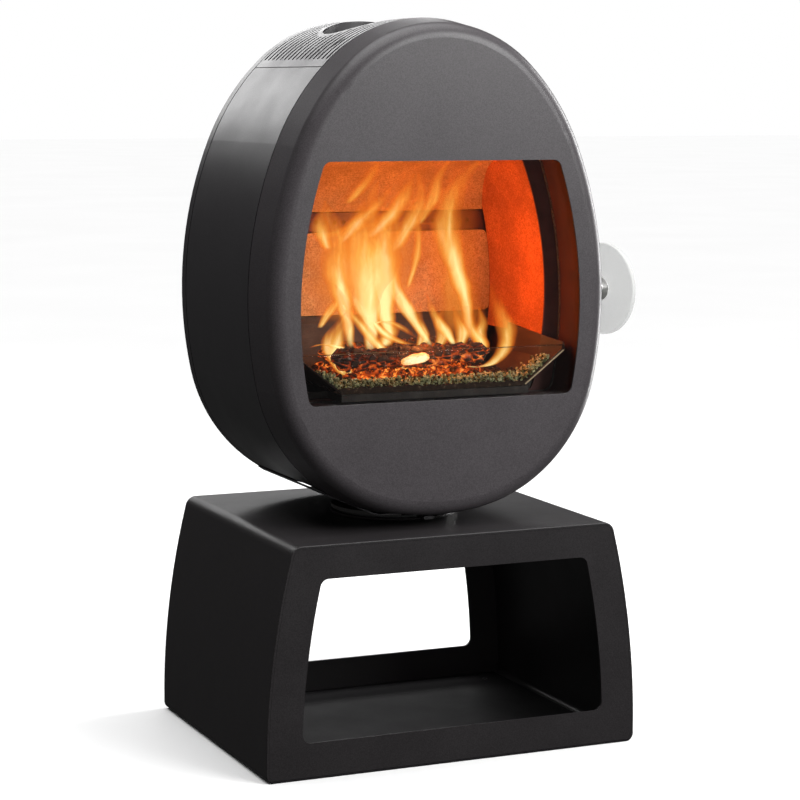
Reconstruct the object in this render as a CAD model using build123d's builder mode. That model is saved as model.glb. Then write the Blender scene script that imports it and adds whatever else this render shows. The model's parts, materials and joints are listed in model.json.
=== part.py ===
from build123d import *
import math
import os

# Wood burning stove: an egg-shaped steel body that turns on a hollow log-store pedestal.
# Millimetres. +Z up, the front faces -Y, +X to the right of someone facing the stove. The origin
# is on the floor under the middle of the pedestal, and the body turns about the Z axis.

os.makedirs("parts", exist_ok=True)

# Body outline: each half is a chain of tangent arcs from the crown down to the base
body_top = 1077.5
crown_radius = 215.0
crown_turn = 44.0
shoulder_radius = 350.0
shoulder_turn = 24.0
side_radius = 605.0
side_turn = 34.0
hip_radius = 245.0
hip_turn = 69.0
base_turn = 180 - crown_turn - shoulder_turn - side_turn - hip_turn

# Depths along Y
door_front = -178.0
door_back = -107.0
casing_front = -104.0
casing_back = 166.0
rim_front = 169.0
body_back = 189.0

# Sheet thicknesses and gaps
casing_sheet = 2.0
door_sheet = 3.0
firebox_sheet = 3.0
slide_gap = 0.3

# Window in the door: straight top and bottom edges, bowed sides
window_top = 873.0
window_bottom = 527.0
window_half_top = 185.0
window_half_middle = 222.0
window_half_bottom = 208.5
window_middle = 655.0
window_corner = 13.0

# Firebox and its lining, as insets from the body outline
firebox_inset = 45.0
liner_inset = 73.0
firebox_front = -100.0
firebox_back = 117.0
liner_back_face = 86.0
hearth_top = 538.0

# Flue
flue_y = 36.0
flue_radius = 72.0
flue_wall = 2.5
flue_top = 1058.0
grille_hole_radius = 95.0

# Top grille and bottom cover
grille_half = 160.0
slot_count = 16
slot_pitch = 16.6
slot_width = 7.0
slot_half_length = 150.0

# Door hinge, catch and handle
hinge_x = -255.0
hinge_y = -122.0
hinge_heights = (590.0, 735.0)
hinge_pin_radius = 3.0
hinge_eye_radius = 7.0
running_clearance = 0.05
handle_centre = (310.8, -85.0, 673.0)
handle_splay = 14.4
handle_radius = 70.0
handle_glass = 8.0
boss_radius = 17.5
boss_length = 14.0
stem_radius = 6.0

# Pedestal
pedestal_height = 338.0
pedestal_depth = 458.0
pedestal_half_width = 295.6
pedestal_side_radius = 1235.0
pedestal_widest = 20.0
pedestal_sheet = 4.0
pedestal_bend = 17.0
pedestal_foot = 12.0
frame_gap = 0.3
pedestal_edge = 1.5
levelling_grid = (500.0, 380.0)
levelling_radius = 5.0
opening_border = 54.0
opening_top = 288.7
opening_bottom = 53.0
opening_corner = 13.0

# Turntable
disc_radius = 96.0
disc_bolt_circle = 60.0
disc_bolt_radius = 2.5
glide_outer = 90.0
glide_inner = 70.0
spigot_radius = 30.0
spigot_wall = 4.0
bush_wall = 4.0


def at_depth(y):
    """Upright plane at depth y: its local x is +X and its local y is +Z."""
    return Plane.XZ.offset(-y)


def oval(inset):
    """The body's outline moved inwards by inset."""
    with BuildSketch() as sketch:
        with BuildLine():
            crown = JernArc((0, body_top - inset), (1, 0), crown_radius - inset, -crown_turn)
            shoulder = JernArc(crown @ 1, crown % 1, shoulder_radius - inset, -shoulder_turn)
            side = JernArc(shoulder @ 1, shoulder % 1, side_radius - inset, -side_turn)
            hip = JernArc(side @ 1, side % 1, hip_radius - inset, -hip_turn)
            base_radius = (hip @ 1).X / math.sin(math.radians(base_turn))
            JernArc(hip @ 1, hip % 1, base_radius, -base_turn)
            mirror(about=Plane.YZ)
        make_face()
    return sketch.sketch


def bowed_outline(half_top, top, half_middle, middle, half_bottom, bottom, top_corner, bottom_corner):
    """A face with straight top and bottom edges and bowed sides."""
    with BuildSketch() as sketch:
        with BuildLine():
            Line((-half_bottom, bottom), (half_bottom, bottom))
            ThreePointArc((half_bottom, bottom), (half_middle, middle), (half_top, top))
            Line((half_top, top), (-half_top, top))
            ThreePointArc((-half_top, top), (-half_middle, middle), (-half_bottom, bottom))
        make_face()
        rows = sketch.vertices().group_by(Axis.Y)
        if bottom_corner > 0:
            fillet(rows[0], radius=bottom_corner)
            rows = sketch.vertices().group_by(Axis.Y)
        if top_corner > 0:
            fillet(rows[-1], radius=top_corner)
    return sketch.sketch


def window(grow):
    """The window's outline moved outwards by grow."""
    return bowed_outline(
        window_half_top + grow,
        window_top + grow,
        window_half_middle + grow,
        window_middle,
        window_half_bottom + grow,
        window_bottom - grow,
        window_corner + max(grow, 0),
        window_corner + max(grow, 0),
    )


def pedestal_outline(inset, bottom, top, top_corner, bottom_corner=0.0):
    """The pedestal's front outline between two heights, moved inwards by inset."""

    def half_width(z):
        radius = pedestal_side_radius - inset
        centre = pedestal_half_width - pedestal_side_radius
        return centre + math.sqrt(radius**2 - (z - pedestal_widest) ** 2)

    middle = (bottom + top) / 2
    return bowed_outline(
        half_width(top), top, half_width(middle), middle, half_width(bottom), bottom,
        top_corner, bottom_corner,
    )


def slab(face, front, back):
    """The face, drawn in the XZ plane, as a solid from depth front to depth back."""
    with BuildPart() as solid:
        with BuildSketch(at_depth(front)):
            add(face)
        extrude(amount=front - back)
    return solid.part


def block(x0, x1, y0, y1, z0, z1):
    """A box given by its limits."""
    with BuildPart() as solid:
        with BuildSketch(Plane.XY.offset(z0)):
            with Locations(((x0 + x1) / 2, (y0 + y1) / 2)):
                Rectangle(x1 - x0, y1 - y0)
        extrude(amount=z1 - z0)
    return solid.part


def shell_solid(inset, front, back_inset, edge):
    """The door's dish: it narrows a little towards the front, and its front edge is rounded."""
    with BuildPart() as solid:
        with BuildSketch(at_depth(door_back)):
            add(oval(back_inset))
        with BuildSketch(at_depth(front)):
            add(oval(inset))
        loft(ruled=True)
        fillet(solid.faces().sort_by(Axis.Y)[0].edges(), radius=edge)
    return solid.part


def save(solid, label):
    """Names a finished piece and writes its STEP file."""
    solid.part.label = label
    export_step(solid.part, f"parts/{label}.step")


# ---------------------------------------------------------------- pedestal

# The pedestal's whole outside: the bent shell keeps its walls and roof, the base plate its foot
with BuildPart() as pedestal_outside:
    outline = pedestal_outline(0, 0, pedestal_height, pedestal_bend, pedestal_foot)
    add(slab(outline, -pedestal_depth / 2, pedestal_depth / 2))
    end_faces = pedestal_outside.faces().group_by(Axis.Y)
    fillet(end_faces[0].edges() + end_faces[-1].edges(), radius=pedestal_edge)

with BuildPart() as pedestal_shell:
    add(pedestal_outside.part)
    with BuildSketch(at_depth(-pedestal_depth / 2)):
        add(
            pedestal_outline(
                pedestal_sheet,
                pedestal_sheet,
                pedestal_height - pedestal_sheet,
                pedestal_bend - pedestal_sheet,
                pedestal_foot - pedestal_sheet,
            )
        )
    extrude(amount=-pedestal_depth, mode=Mode.SUBTRACT)
    with BuildSketch():
        Rectangle(2 * pedestal_half_width + 10, pedestal_depth + 10)
    extrude(amount=pedestal_sheet, mode=Mode.SUBTRACT)
    with BuildSketch(Plane.XY.offset(pedestal_height)):
        Circle(spigot_radius + bush_wall)
        with PolarLocations(disc_bolt_circle, 4, start_angle=45):
            Circle(disc_bolt_radius)
    extrude(amount=-pedestal_sheet, mode=Mode.SUBTRACT)
save(pedestal_shell, "pedestal_shell")

with BuildPart() as pedestal_base_plate:
    add(pedestal_outside.part)
    with BuildSketch(Plane.XY.offset(pedestal_sheet)):
        Rectangle(2 * pedestal_half_width + 10, pedestal_depth + 10)
    extrude(amount=pedestal_height, mode=Mode.SUBTRACT)
    with BuildSketch():
        with GridLocations(*levelling_grid, 2, 2):
            Circle(levelling_radius)
    extrude(amount=pedestal_sheet, mode=Mode.SUBTRACT)
save(pedestal_base_plate, "pedestal_base_plate")

frame_inset = pedestal_sheet + frame_gap


def pedestal_frame(front):
    """A flat frame round the log opening, set just inside the bent shell."""
    with BuildPart() as frame:
        with BuildSketch(at_depth(front)):
            add(
                pedestal_outline(
                    frame_inset,
                    frame_inset,
                    pedestal_height - frame_inset,
                    pedestal_bend - frame_inset,
                    pedestal_foot - frame_inset,
                )
            )
            add(
                pedestal_outline(
                    opening_border, opening_bottom, opening_top, opening_corner, opening_corner
                ),
                mode=Mode.SUBTRACT,
            )
        extrude(amount=-pedestal_sheet)
    return frame


pedestal_front_frame = pedestal_frame(-pedestal_depth / 2)
save(pedestal_front_frame, "pedestal_front_frame")

pedestal_back_frame = pedestal_frame(pedestal_depth / 2 - pedestal_sheet)
save(pedestal_back_frame, "pedestal_back_frame")

# Angle brackets tie each frame to the shell's top; the lower edges are welded to the base plate
bracket_leg = 26.0
bracket_width = 30.0
bracket_sheet = 3.0
bracket_x = 150.0
frame_inner = pedestal_depth / 2 - pedestal_sheet
roof = pedestal_height - pedestal_sheet
disc_sheet = 3.0

with BuildPart() as frame_brackets:
    for side in (-1, 1):
        for face in (-1, 1):
            y_face = face * frame_inner
            y_leg = face * (frame_inner - bracket_leg)
            y_sheet = face * (frame_inner - bracket_sheet)
            x0 = side * bracket_x - bracket_width / 2
            x1 = x0 + bracket_width
            add(block(x0, x1, min(y_face, y_leg), max(y_face, y_leg), roof - bracket_sheet, roof))
            add(block(x0, x1, min(y_face, y_sheet), max(y_face, y_sheet), roof - bracket_leg, roof))
save(frame_brackets, "frame_brackets")

bracket_screw_drop = 15.0
bracket_screw_radius = 4.5
bracket_screw_head = 3.0
bolt_head_radius = 5.0
bolt_head_height = 2.5

# Screws in the frame brackets, and bolts that hold the turntable down through the shell's top
with BuildPart() as pedestal_screws:
    for face in (-1, 1):
        for side in (-1, 1):
            head = Plane(
                origin=(side * bracket_x, face * (frame_inner - bracket_sheet), roof - bracket_screw_drop),
                z_dir=(0, -face, 0),
            )
            with BuildSketch(head):
                Circle(bracket_screw_radius)
            extrude(amount=bracket_screw_head)
    with BuildSketch(Plane.XY.offset(roof - bolt_head_height)):
        with PolarLocations(disc_bolt_circle, 4, start_angle=45):
            Circle(bolt_head_radius)
    extrude(amount=bolt_head_height)
    with BuildSketch(Plane.XY.offset(roof)):
        with PolarLocations(disc_bolt_circle, 4, start_angle=45):
            Circle(disc_bolt_radius)
    extrude(amount=pedestal_sheet + disc_sheet)
save(pedestal_screws, "pedestal_screws")

levelling_foot = 0.2
hex_socket_radius = 2.9
hex_socket_depth = 2.5

with BuildPart() as levelling_screws:
    with BuildSketch(Plane.XY.offset(levelling_foot)):
        with GridLocations(*levelling_grid, 2, 2):
            Circle(levelling_radius)
    extrude(amount=pedestal_sheet - levelling_foot)
    with BuildSketch(Plane.XY.offset(pedestal_sheet)):
        with GridLocations(*levelling_grid, 2, 2):
            RegularPolygon(radius=hex_socket_radius, side_count=6)
    extrude(amount=-hex_socket_depth, mode=Mode.SUBTRACT)
save(levelling_screws, "levelling_screws")

# ---------------------------------------------------------------- turntable

glide_height = 2.7
base_disc_top = pedestal_height + disc_sheet
glide_top = base_disc_top + glide_height
upper_disc_bottom = glide_top + slide_gap
cover_flat = 349.5

with BuildPart() as turntable_base:
    with BuildSketch(Plane.XY.offset(pedestal_height)):
        Circle(disc_radius + 2)
        Circle(spigot_radius + bush_wall, mode=Mode.SUBTRACT)
        with PolarLocations(disc_bolt_circle, 4, start_angle=45):
            Circle(disc_bolt_radius, mode=Mode.SUBTRACT)
    extrude(amount=disc_sheet)
    fillet(turntable_base.faces().sort_by(Axis.Z)[-1].edges().sort_by(SortBy.LENGTH)[-1], radius=1.2)
save(turntable_base, "turntable_base")

with BuildPart() as turntable_glide_ring:
    with BuildSketch(Plane.XY.offset(base_disc_top)):
        Circle(glide_outer)
        Circle(glide_inner, mode=Mode.SUBTRACT)
    extrude(amount=glide_height)
save(turntable_glide_ring, "turntable_glide_ring")

bush_bottom = 326.0
bush_flange = 10.0
bush_flange_height = 1.5

with BuildPart() as pivot_bush:
    with BuildSketch(Plane.XY.offset(bush_bottom)):
        Circle(spigot_radius + bush_wall)
        Circle(spigot_radius + running_clearance, mode=Mode.SUBTRACT)
    extrude(amount=base_disc_top - bush_bottom)
    with BuildSketch(Plane.XY.offset(base_disc_top)):
        Circle(spigot_radius + bush_flange)
        Circle(spigot_radius + running_clearance, mode=Mode.SUBTRACT)
    extrude(amount=bush_flange_height)
save(pivot_bush, "pivot_bush")

spigot_bottom = 321.0
lever_notch_width = 56.0
lever_notch_depth = 48.0

with BuildPart() as turntable_plate:
    with BuildSketch(Plane.XY.offset(upper_disc_bottom)):
        Circle(disc_radius)
        Circle(spigot_radius - spigot_wall, mode=Mode.SUBTRACT)
        with Locations((0, -(disc_radius + 4))):
            Rectangle(lever_notch_width, lever_notch_depth, mode=Mode.SUBTRACT)
    extrude(amount=cover_flat - upper_disc_bottom)
    with BuildSketch(Plane.XY.offset(spigot_bottom)):
        Circle(spigot_radius)
        Circle(spigot_radius - spigot_wall, mode=Mode.SUBTRACT)
    extrude(amount=upper_disc_bottom - spigot_bottom)
save(turntable_plate, "turntable_plate")

retaining_ring_width = 8.0

with BuildPart() as pivot_retaining_ring:
    with BuildSketch(Plane.XY.offset(spigot_bottom + 1)):
        Circle(spigot_radius + retaining_ring_width)
        Circle(spigot_radius, mode=Mode.SUBTRACT)
    extrude(amount=bush_bottom - slide_gap - spigot_bottom - 1)
save(pivot_retaining_ring, "pivot_retaining_ring")

# ---------------------------------------------------------------- outer casing

half_gap = 1.0
stem_slot_half = 13.0
stem_slot_back = -82.0
stem_slot_inner = 230.0
stem_slot_outer = 300.0


def side_casing(side):
    """One curved side sheet, from the grille's end round to the bottom cover."""
    with BuildPart() as casing:
        add(slab(oval(0), casing_front, casing_back))
        add(slab(oval(casing_sheet), casing_front, casing_back), mode=Mode.SUBTRACT)
        inner = side * (grille_half + half_gap)
        outer = side * (pedestal_half_width + 10)
        keep = block(min(inner, outer), max(inner, outer), casing_front, casing_back, 300, 1100)
        add(keep, mode=Mode.INTERSECT)
        if side > 0:
            slot = block(
                stem_slot_inner,
                stem_slot_outer,
                casing_front - 1,
                stem_slot_back,
                handle_centre[2] - stem_slot_half,
                handle_centre[2] + stem_slot_half,
            )
            add(slot, mode=Mode.SUBTRACT)
    return casing


left_casing = side_casing(-1)
save(left_casing, "left_casing")

right_casing = side_casing(1)
save(right_casing, "right_casing")

grille_ring_width = 8.0
above_shoulders = 1000.0

with BuildPart() as top_grille:
    add(slab(oval(0), casing_front, casing_back))
    add(slab(oval(casing_sheet), casing_front, casing_back), mode=Mode.SUBTRACT)
    add(
        block(-grille_half, grille_half, casing_front, casing_back, 900, 1100),
        mode=Mode.INTERSECT,
    )
    first_slot = (casing_front + casing_back - (slot_count - 1) * slot_pitch) / 2
    with BuildSketch(Plane.XY.offset(above_shoulders)):
        for index in range(slot_count):
            with Locations((0, first_slot + index * slot_pitch)):
                SlotOverall(2 * slot_half_length, slot_width)
        with Locations((0, flue_y)):
            Circle(grille_hole_radius + grille_ring_width, mode=Mode.SUBTRACT)
    extrude(amount=100, mode=Mode.SUBTRACT)
    with BuildSketch(Plane.XY.offset(above_shoulders)):
        with Locations((0, flue_y)):
            Circle(grille_hole_radius)
    extrude(amount=100, mode=Mode.SUBTRACT)
save(top_grille, "top_grille")

# The cover runs from the casing's lower edges down to a flat that is bolted to the turntable
cover_points = ((158.5, 388.5), (150, 383), (72, cover_flat))
lever_slot_width = 44.0
lever_slot_front = -88.0
lever_slot_back = -78.0

with BuildPart() as bottom_cover:
    with BuildSketch(at_depth(casing_front)):
        with BuildLine():
            under = [(-x, z) for x, z in cover_points] + list(reversed(cover_points))
            Polyline(under + [(x, z + casing_sheet) for x, z in reversed(under)], close=True)
        make_face()
    extrude(amount=casing_front - casing_back)
    with BuildSketch(Plane.XY.offset(cover_flat)):
        with Locations((0, (lever_slot_front + lever_slot_back) / 2)):
            Rectangle(lever_slot_width, lever_slot_back - lever_slot_front)
    extrude(amount=casing_sheet, mode=Mode.SUBTRACT)
save(bottom_cover, "bottom_cover")

rim_width = 8.0
rim_edge = 3.0

with BuildPart() as rear_rim:
    add(slab(oval(0), rim_front, body_back))
    add(slab(oval(rim_width), rim_front, body_back), mode=Mode.SUBTRACT)
    fillet(rear_rim.faces().sort_by(Axis.Y)[-1].outer_wire().edges(), radius=rim_edge)
save(rear_rim, "rear_rim")

panel_front = 183.0
panel_back = 186.0
rear_flue_z = 905.0
rear_flue_radius = 78.0
air_inlet_z = 445.0
air_inlet_radius = 40.0
rear_slots_middle = 635.0
rear_slot_pitch = 25.0
rear_slot_length = 180.0
rear_slot_height = 8.0
panel_screws = ((-170, 880), (170, 880), (-225, 660), (225, 660), (-150, 460), (150, 460))
cover_screw_circle = 84.0
cover_rim = 8.0
cover_sheet = 2.0
panel_screw_radius = 5.0
panel_screw_head = 2.5
cover_screw_radius = 3.5
cover_screw_head = 1.0

with BuildPart() as rear_panel:
    add(slab(oval(rim_width), panel_front, panel_back))
    with BuildSketch(at_depth(panel_front)):
        with Locations((0, rear_flue_z)):
            Circle(rear_flue_radius)
        with Locations((0, air_inlet_z)):
            Circle(air_inlet_radius)
        with Locations((0, rear_slots_middle)):
            with GridLocations(1, rear_slot_pitch, 1, 7):
                SlotOverall(rear_slot_length, rear_slot_height)
    extrude(amount=panel_front - panel_back, mode=Mode.SUBTRACT)
save(rear_panel, "rear_panel")

with BuildPart() as rear_flue_cover:
    with BuildSketch(at_depth(panel_back)):
        with Locations((0, rear_flue_z)):
            Circle(cover_screw_circle + cover_rim)
    extrude(amount=-cover_sheet)
save(rear_flue_cover, "rear_flue_cover")

with BuildPart() as rear_screws:
    with BuildSketch(at_depth(panel_back)):
        with Locations(*panel_screws):
            Circle(panel_screw_radius)
    extrude(amount=-panel_screw_head)
    with BuildSketch(at_depth(panel_back + cover_sheet)):
        with Locations((0, rear_flue_z)):
            with PolarLocations(cover_screw_circle, 3, start_angle=90):
                Circle(cover_screw_radius)
    extrude(amount=-cover_screw_head)
save(rear_screws, "rear_screws")

shield_front = 150.0
shield_inset = 30.0
shield_sheet = 1.5

with BuildPart() as rear_heat_shield:
    add(slab(oval(shield_inset), shield_front, shield_front + shield_sheet))
    with BuildSketch(at_depth(shield_front)):
        with Locations((0, air_inlet_z)):
            Circle(air_inlet_radius)
    extrude(amount=-shield_sheet, mode=Mode.SUBTRACT)
save(rear_heat_shield, "rear_heat_shield")

with BuildPart() as fresh_air_spigot:
    with BuildSketch(at_depth(shield_front)):
        with Locations((0, air_inlet_z)):
            Circle(air_inlet_radius)
            Circle(air_inlet_radius - shield_sheet, mode=Mode.SUBTRACT)
    extrude(amount=shield_front - body_back)
save(fresh_air_spigot, "fresh_air_spigot")

# The casing sheets are carried on a ring just behind the door's seam, with legs to the firebox
carrier_front = -78.0
carrier_width = 16.0
carrier_sheet = 2.5
leg_depth = 12.0
leg_half = 12.0

with BuildPart() as carrier_legs:
    for x in (-190, 190):
        for z in (480, 900):
            add(block(x - 55, x + 55, -90, -60, z - leg_half, z + leg_half))
    add(slab(oval(casing_sheet + 1), carrier_front, carrier_front + leg_depth), mode=Mode.INTERSECT)
    add(slab(oval(firebox_inset), carrier_front, carrier_front + leg_depth), mode=Mode.SUBTRACT)

with BuildPart() as casing_carrier:
    add(slab(oval(casing_sheet), carrier_front, carrier_front + carrier_sheet))
    add(
        slab(oval(casing_sheet + carrier_width), carrier_front, carrier_front + carrier_sheet),
        mode=Mode.SUBTRACT,
    )
    add(block(-300, 300, -90, -60, 300, 392), mode=Mode.SUBTRACT)
    add(carrier_legs.part)
save(casing_carrier, "casing_carrier")

# ---------------------------------------------------------------- firebox

collar_outer = flue_radius + flue_wall
collar_bottom = 1010.0
mouth_top = 885.0
air_hole_y = -40.0
air_hole_width = 80.0
air_hole_depth = 60.0

# Welded steel firebox: a curved wall, a back, and a front plate round the opening
with BuildPart() as firebox:
    add(slab(oval(firebox_inset), firebox_front - firebox_sheet, firebox_back))
    inner_back = firebox_back - firebox_sheet
    add(slab(oval(firebox_inset + firebox_sheet), firebox_front, inner_back), mode=Mode.SUBTRACT)
    with BuildSketch(at_depth(firebox_front)):
        add(oval(liner_inset))
        with Locations((0, (window_bottom + mouth_top) / 2)):
            Rectangle(500, mouth_top - window_bottom, mode=Mode.INTERSECT)
    extrude(amount=firebox_sheet, mode=Mode.SUBTRACT)
    with BuildSketch(Plane.XY.offset(980)):
        with Locations((0, flue_y)):
            Circle(collar_outer)
    extrude(amount=80, mode=Mode.SUBTRACT)
    with BuildSketch(Plane.XY.offset(380)):
        with Locations((0, air_hole_y)):
            Rectangle(air_hole_width, air_hole_depth)
    extrude(amount=30, mode=Mode.SUBTRACT)
save(firebox, "firebox")

with BuildPart() as flue_collar:
    with BuildSketch(Plane.XY.offset(collar_bottom)):
        with Locations((0, flue_y)):
            Circle(collar_outer)
            Circle(flue_radius, mode=Mode.SUBTRACT)
    extrude(amount=flue_top - collar_bottom)
save(flue_collar, "flue_collar")

shroud_sheet = 2.0

with BuildPart() as grille_shroud:
    with BuildSketch(Plane.XY.offset(960)):
        with Locations((0, flue_y)):
            Circle(grille_hole_radius)
            Circle(grille_hole_radius - shroud_sheet, mode=Mode.SUBTRACT)
    extrude(amount=160)
    add(slab(oval(casing_sheet), casing_front, casing_back), mode=Mode.INTERSECT)
    add(slab(oval(firebox_inset), casing_front, casing_back), mode=Mode.SUBTRACT)
    add(block(-120, 120, firebox_back, 160, 950, 1010), mode=Mode.SUBTRACT)
save(grille_shroud, "grille_shroud")

liner_outer = firebox_inset + firebox_sheet
side_liner_bottom = 606.0
side_liner_top = 905.0


def side_liner(side):
    """A curved vermiculite slab that lines one side of the firebox."""
    with BuildPart() as liner:
        add(slab(oval(liner_outer), firebox_front - 2, liner_back_face))
        add(slab(oval(liner_inset), firebox_front - 2, liner_back_face), mode=Mode.SUBTRACT)
        add(block(-300, 300, firebox_front - 2, firebox_front, 300, 1100), mode=Mode.SUBTRACT)
        keep = block(min(0, side * 300), max(0, side * 300), -150, 150, side_liner_bottom, side_liner_top)
        add(keep, mode=Mode.INTERSECT)
    return liner


left_liner = side_liner(-1)
save(left_liner, "left_liner")

right_liner = side_liner(1)
save(right_liner, "right_liner")

lower_liner_bottom = 630.0
lower_liner_top = 756.0
liner_corner = 9.0
liner_fit = 0.5
back_wall = firebox_back - firebox_sheet


def back_liner_face(bottom, top, corner):
    """A panel between the side liners, with rounded corners."""
    with BuildSketch() as sketch:
        add(oval(liner_inset + liner_fit))
        with Locations((0, (bottom + top) / 2)):
            Rectangle(500, top - bottom, mode=Mode.INTERSECT)
        fillet(sketch.vertices().group_by(Axis.Y)[0], radius=corner)
        fillet(sketch.vertices().group_by(Axis.Y)[-1], radius=corner)
    return sketch.sketch


with BuildPart() as lower_back_liner:
    add(slab(back_liner_face(lower_liner_bottom, lower_liner_top, liner_corner), liner_back_face, back_wall))
save(lower_back_liner, "lower_back_liner")

# The upper back liner leans over towards the glass and turns the smoke forwards
upper_liner_thickness = 24.0
upper_liner_start = (88.0, 788.0)
upper_liner_middle = (52.0, 837.0)
upper_liner_end = (-60.0, 872.0)

with BuildPart() as upper_back_liner:
    with BuildSketch(Plane.YZ.offset(-240)):
        with BuildLine():
            face_line = ThreePointArc(upper_liner_start, upper_liner_middle, upper_liner_end)
            offset(face_line, amount=upper_liner_thickness, side=Side.RIGHT, closed=True)
        make_face()
    extrude(amount=480)
    add(slab(oval(liner_inset + liner_fit), -150, back_wall), mode=Mode.INTERSECT)
save(upper_back_liner, "upper_back_liner")

# The secondary-air rail blows through a row of holes between the two back liners
rail_front = 93.0
rail_bottom = lower_liner_top + 1
rail_top = 786.0
rail_sheet = 2.0
rail_hole_pitch = 15.0
rail_hole_radius = 3.5
rail_half = 180.0

with BuildPart() as air_rail:
    add(slab(back_liner_face(rail_bottom, rail_top, 1), rail_front, back_wall))
    with BuildSketch(at_depth(rail_front + rail_sheet)):
        with Locations((0, (rail_bottom + rail_top) / 2)):
            Rectangle(2 * rail_half, rail_top - rail_bottom - 2 * rail_sheet)
    extrude(amount=rail_front + 2 * rail_sheet - back_wall, mode=Mode.SUBTRACT)
    with BuildSketch(at_depth(rail_front)):
        with Locations((0, (rail_bottom + rail_top) / 2)):
            with GridLocations(rail_hole_pitch, 1, 23, 1):
                Circle(rail_hole_radius)
    extrude(amount=-rail_sheet, mode=Mode.SUBTRACT)
save(air_rail, "air_rail")

baffle_bottom = side_liner_top
baffle_sheet = 4.0
baffle_half = 210.0
baffle_depth = 150.0

with BuildPart() as smoke_baffle:
    with BuildSketch(Plane.XY.offset(baffle_bottom)):
        Rectangle(2 * baffle_half, baffle_depth)
    extrude(amount=baffle_sheet)
    add(slab(oval(liner_outer + 2), -baffle_depth / 2, baffle_depth / 2), mode=Mode.INTERSECT)
save(smoke_baffle, "smoke_baffle")

# Hearth: a cast plate whose tongue reaches forwards to carry the log guard
hearth_thickness = 10.0
hearth_bottom = hearth_top - hearth_thickness
hearth_half = 150.0
hearth_front = -154.0
grate_half_width = 82.0
grate_front = -45.0
grate_back = 55.0
grate_gap = 1.0
grate_slot = (76.0, 7.0)
grate_slot_pitch = 14.0

with BuildPart() as hearth_plate:
    add(block(-hearth_half, hearth_half, hearth_front, firebox_front, hearth_bottom, hearth_top))
    add(block(-184, 184, firebox_front, back_wall, hearth_bottom, hearth_top))
    add(
        block(
            -grate_half_width, grate_half_width, grate_front, grate_back, hearth_bottom, hearth_top
        ),
        mode=Mode.SUBTRACT,
    )
save(hearth_plate, "hearth_plate")

with BuildPart() as grate:
    with BuildSketch(Plane.XY.offset(hearth_bottom)):
        with Locations((0, (grate_front + grate_back) / 2)):
            Rectangle(2 * (grate_half_width - grate_gap), grate_back - grate_front - 2 * grate_gap)
            with GridLocations(grate_slot_pitch, 1, 10, 1):
                SlotOverall(*grate_slot, rotation=90, mode=Mode.SUBTRACT)
    extrude(amount=hearth_thickness - 1)
save(grate, "grate")

pan_top = 516.0
pan_bottom = 452.0
pan_half = 96.0
pan_front = -90.0
pan_back = 80.0
pan_sheet = 1.5

with BuildPart() as hearth_supports:
    for x in (-1, 1):
        add(block(min(x * 120, x * 126), max(x * 120, x * 126), -95, back_wall, 400, hearth_bottom))
        add(block(min(x * 90, x * 122), max(x * 90, x * 122), -92, 82, pan_bottom - 3, pan_bottom))
    add(slab(oval(liner_outer), -95, back_wall), mode=Mode.INTERSECT)
save(hearth_supports, "hearth_supports")

with BuildPart() as ash_pan:
    add(block(-pan_half, pan_half, pan_front, pan_back, pan_bottom, pan_top))
    add(
        block(
            -pan_half + pan_sheet, pan_half - pan_sheet, pan_front + pan_sheet,
            pan_back - pan_sheet, pan_bottom + pan_sheet, pan_top,
        ),
        mode=Mode.SUBTRACT,
    )
save(ash_pan, "ash_pan")

with BuildPart() as rear_hearth_block:
    with BuildSketch(Plane.YZ.offset(-240)):
        with BuildLine():
            Polyline(
                (66, hearth_top),
                (liner_back_face, lower_liner_bottom - 12),
                (liner_back_face, lower_liner_bottom - 1),
                (back_wall, lower_liner_bottom - 1),
                (back_wall, hearth_top),
                close=True,
            )
        make_face()
    extrude(amount=480)
    add(slab(oval(liner_inset + liner_fit), -150, back_wall), mode=Mode.INTERSECT)
save(rear_hearth_block, "rear_hearth_block")

guard_foot = 146.0
guard_top = 597.0
guard_half_top = 211.0
guard_knee = 589.0
guard_front = -152.0
guard_glass = 4.0
guard_edge = 1.2
wing_sheet = 2.5


def wing_section(y, knee_x, knee_z, top_x, top_z):
    """Cross-section of a hearth wing: a sloping sheet with an upright lip."""
    with BuildSketch(at_depth(y)) as section:
        with BuildLine():
            Polyline(
                (guard_foot, hearth_top),
                (knee_x, knee_z),
                (top_x, top_z),
                (top_x - wing_sheet, top_z),
                (knee_x - wing_sheet, knee_z + wing_sheet / 2),
                (guard_foot - 1.5 * wing_sheet, hearth_top),
                close=True,
            )
        make_face()
    return section.sketch


def hearth_wing(side):
    """A sheet that slopes from the side liner down to the hearth and flares out at the front."""
    with BuildPart() as wing:
        add(wing_section(guard_front + guard_glass + 0.5, 211, guard_knee, 212, 601))
        add(wing_section(firebox_front - 6, 191.5, 575, 197.5, 608))
        loft(ruled=True)
        add(wing_section(firebox_front - 6, 191.5, 575, 197.5, 608))
        add(wing_section(6, 191.5, 575, 197.5, 617))
        loft(ruled=True)
    with BuildPart() as placed:
        if side > 0:
            add(wing.part)
        else:
            add(mirror(wing.part, about=Plane.YZ))
    return placed


left_hearth_wing = hearth_wing(-1)
save(left_hearth_wing, "left_hearth_wing")

right_hearth_wing = hearth_wing(1)
save(right_hearth_wing, "right_hearth_wing")

with BuildPart() as log_guard_glass:
    with BuildSketch(at_depth(guard_front)):
        with BuildLine():
            half = [(guard_foot - 2, hearth_top), (guard_half_top, guard_knee), (guard_half_top, guard_top)]
            Polyline([(-x, z) for x, z in reversed(half)] + half, close=True)
        make_face()
    extrude(amount=-guard_glass)
    fillet(log_guard_glass.faces().sort_by(Axis.Z)[-1].edges().filter_by(Axis.X), radius=guard_edge)
save(log_guard_glass, "log_guard_glass")

# Contents shown burning on the hearth: a bed of ash and embers with two logs on it
bed_top = 560.0
bed_back = 60.0

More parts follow.
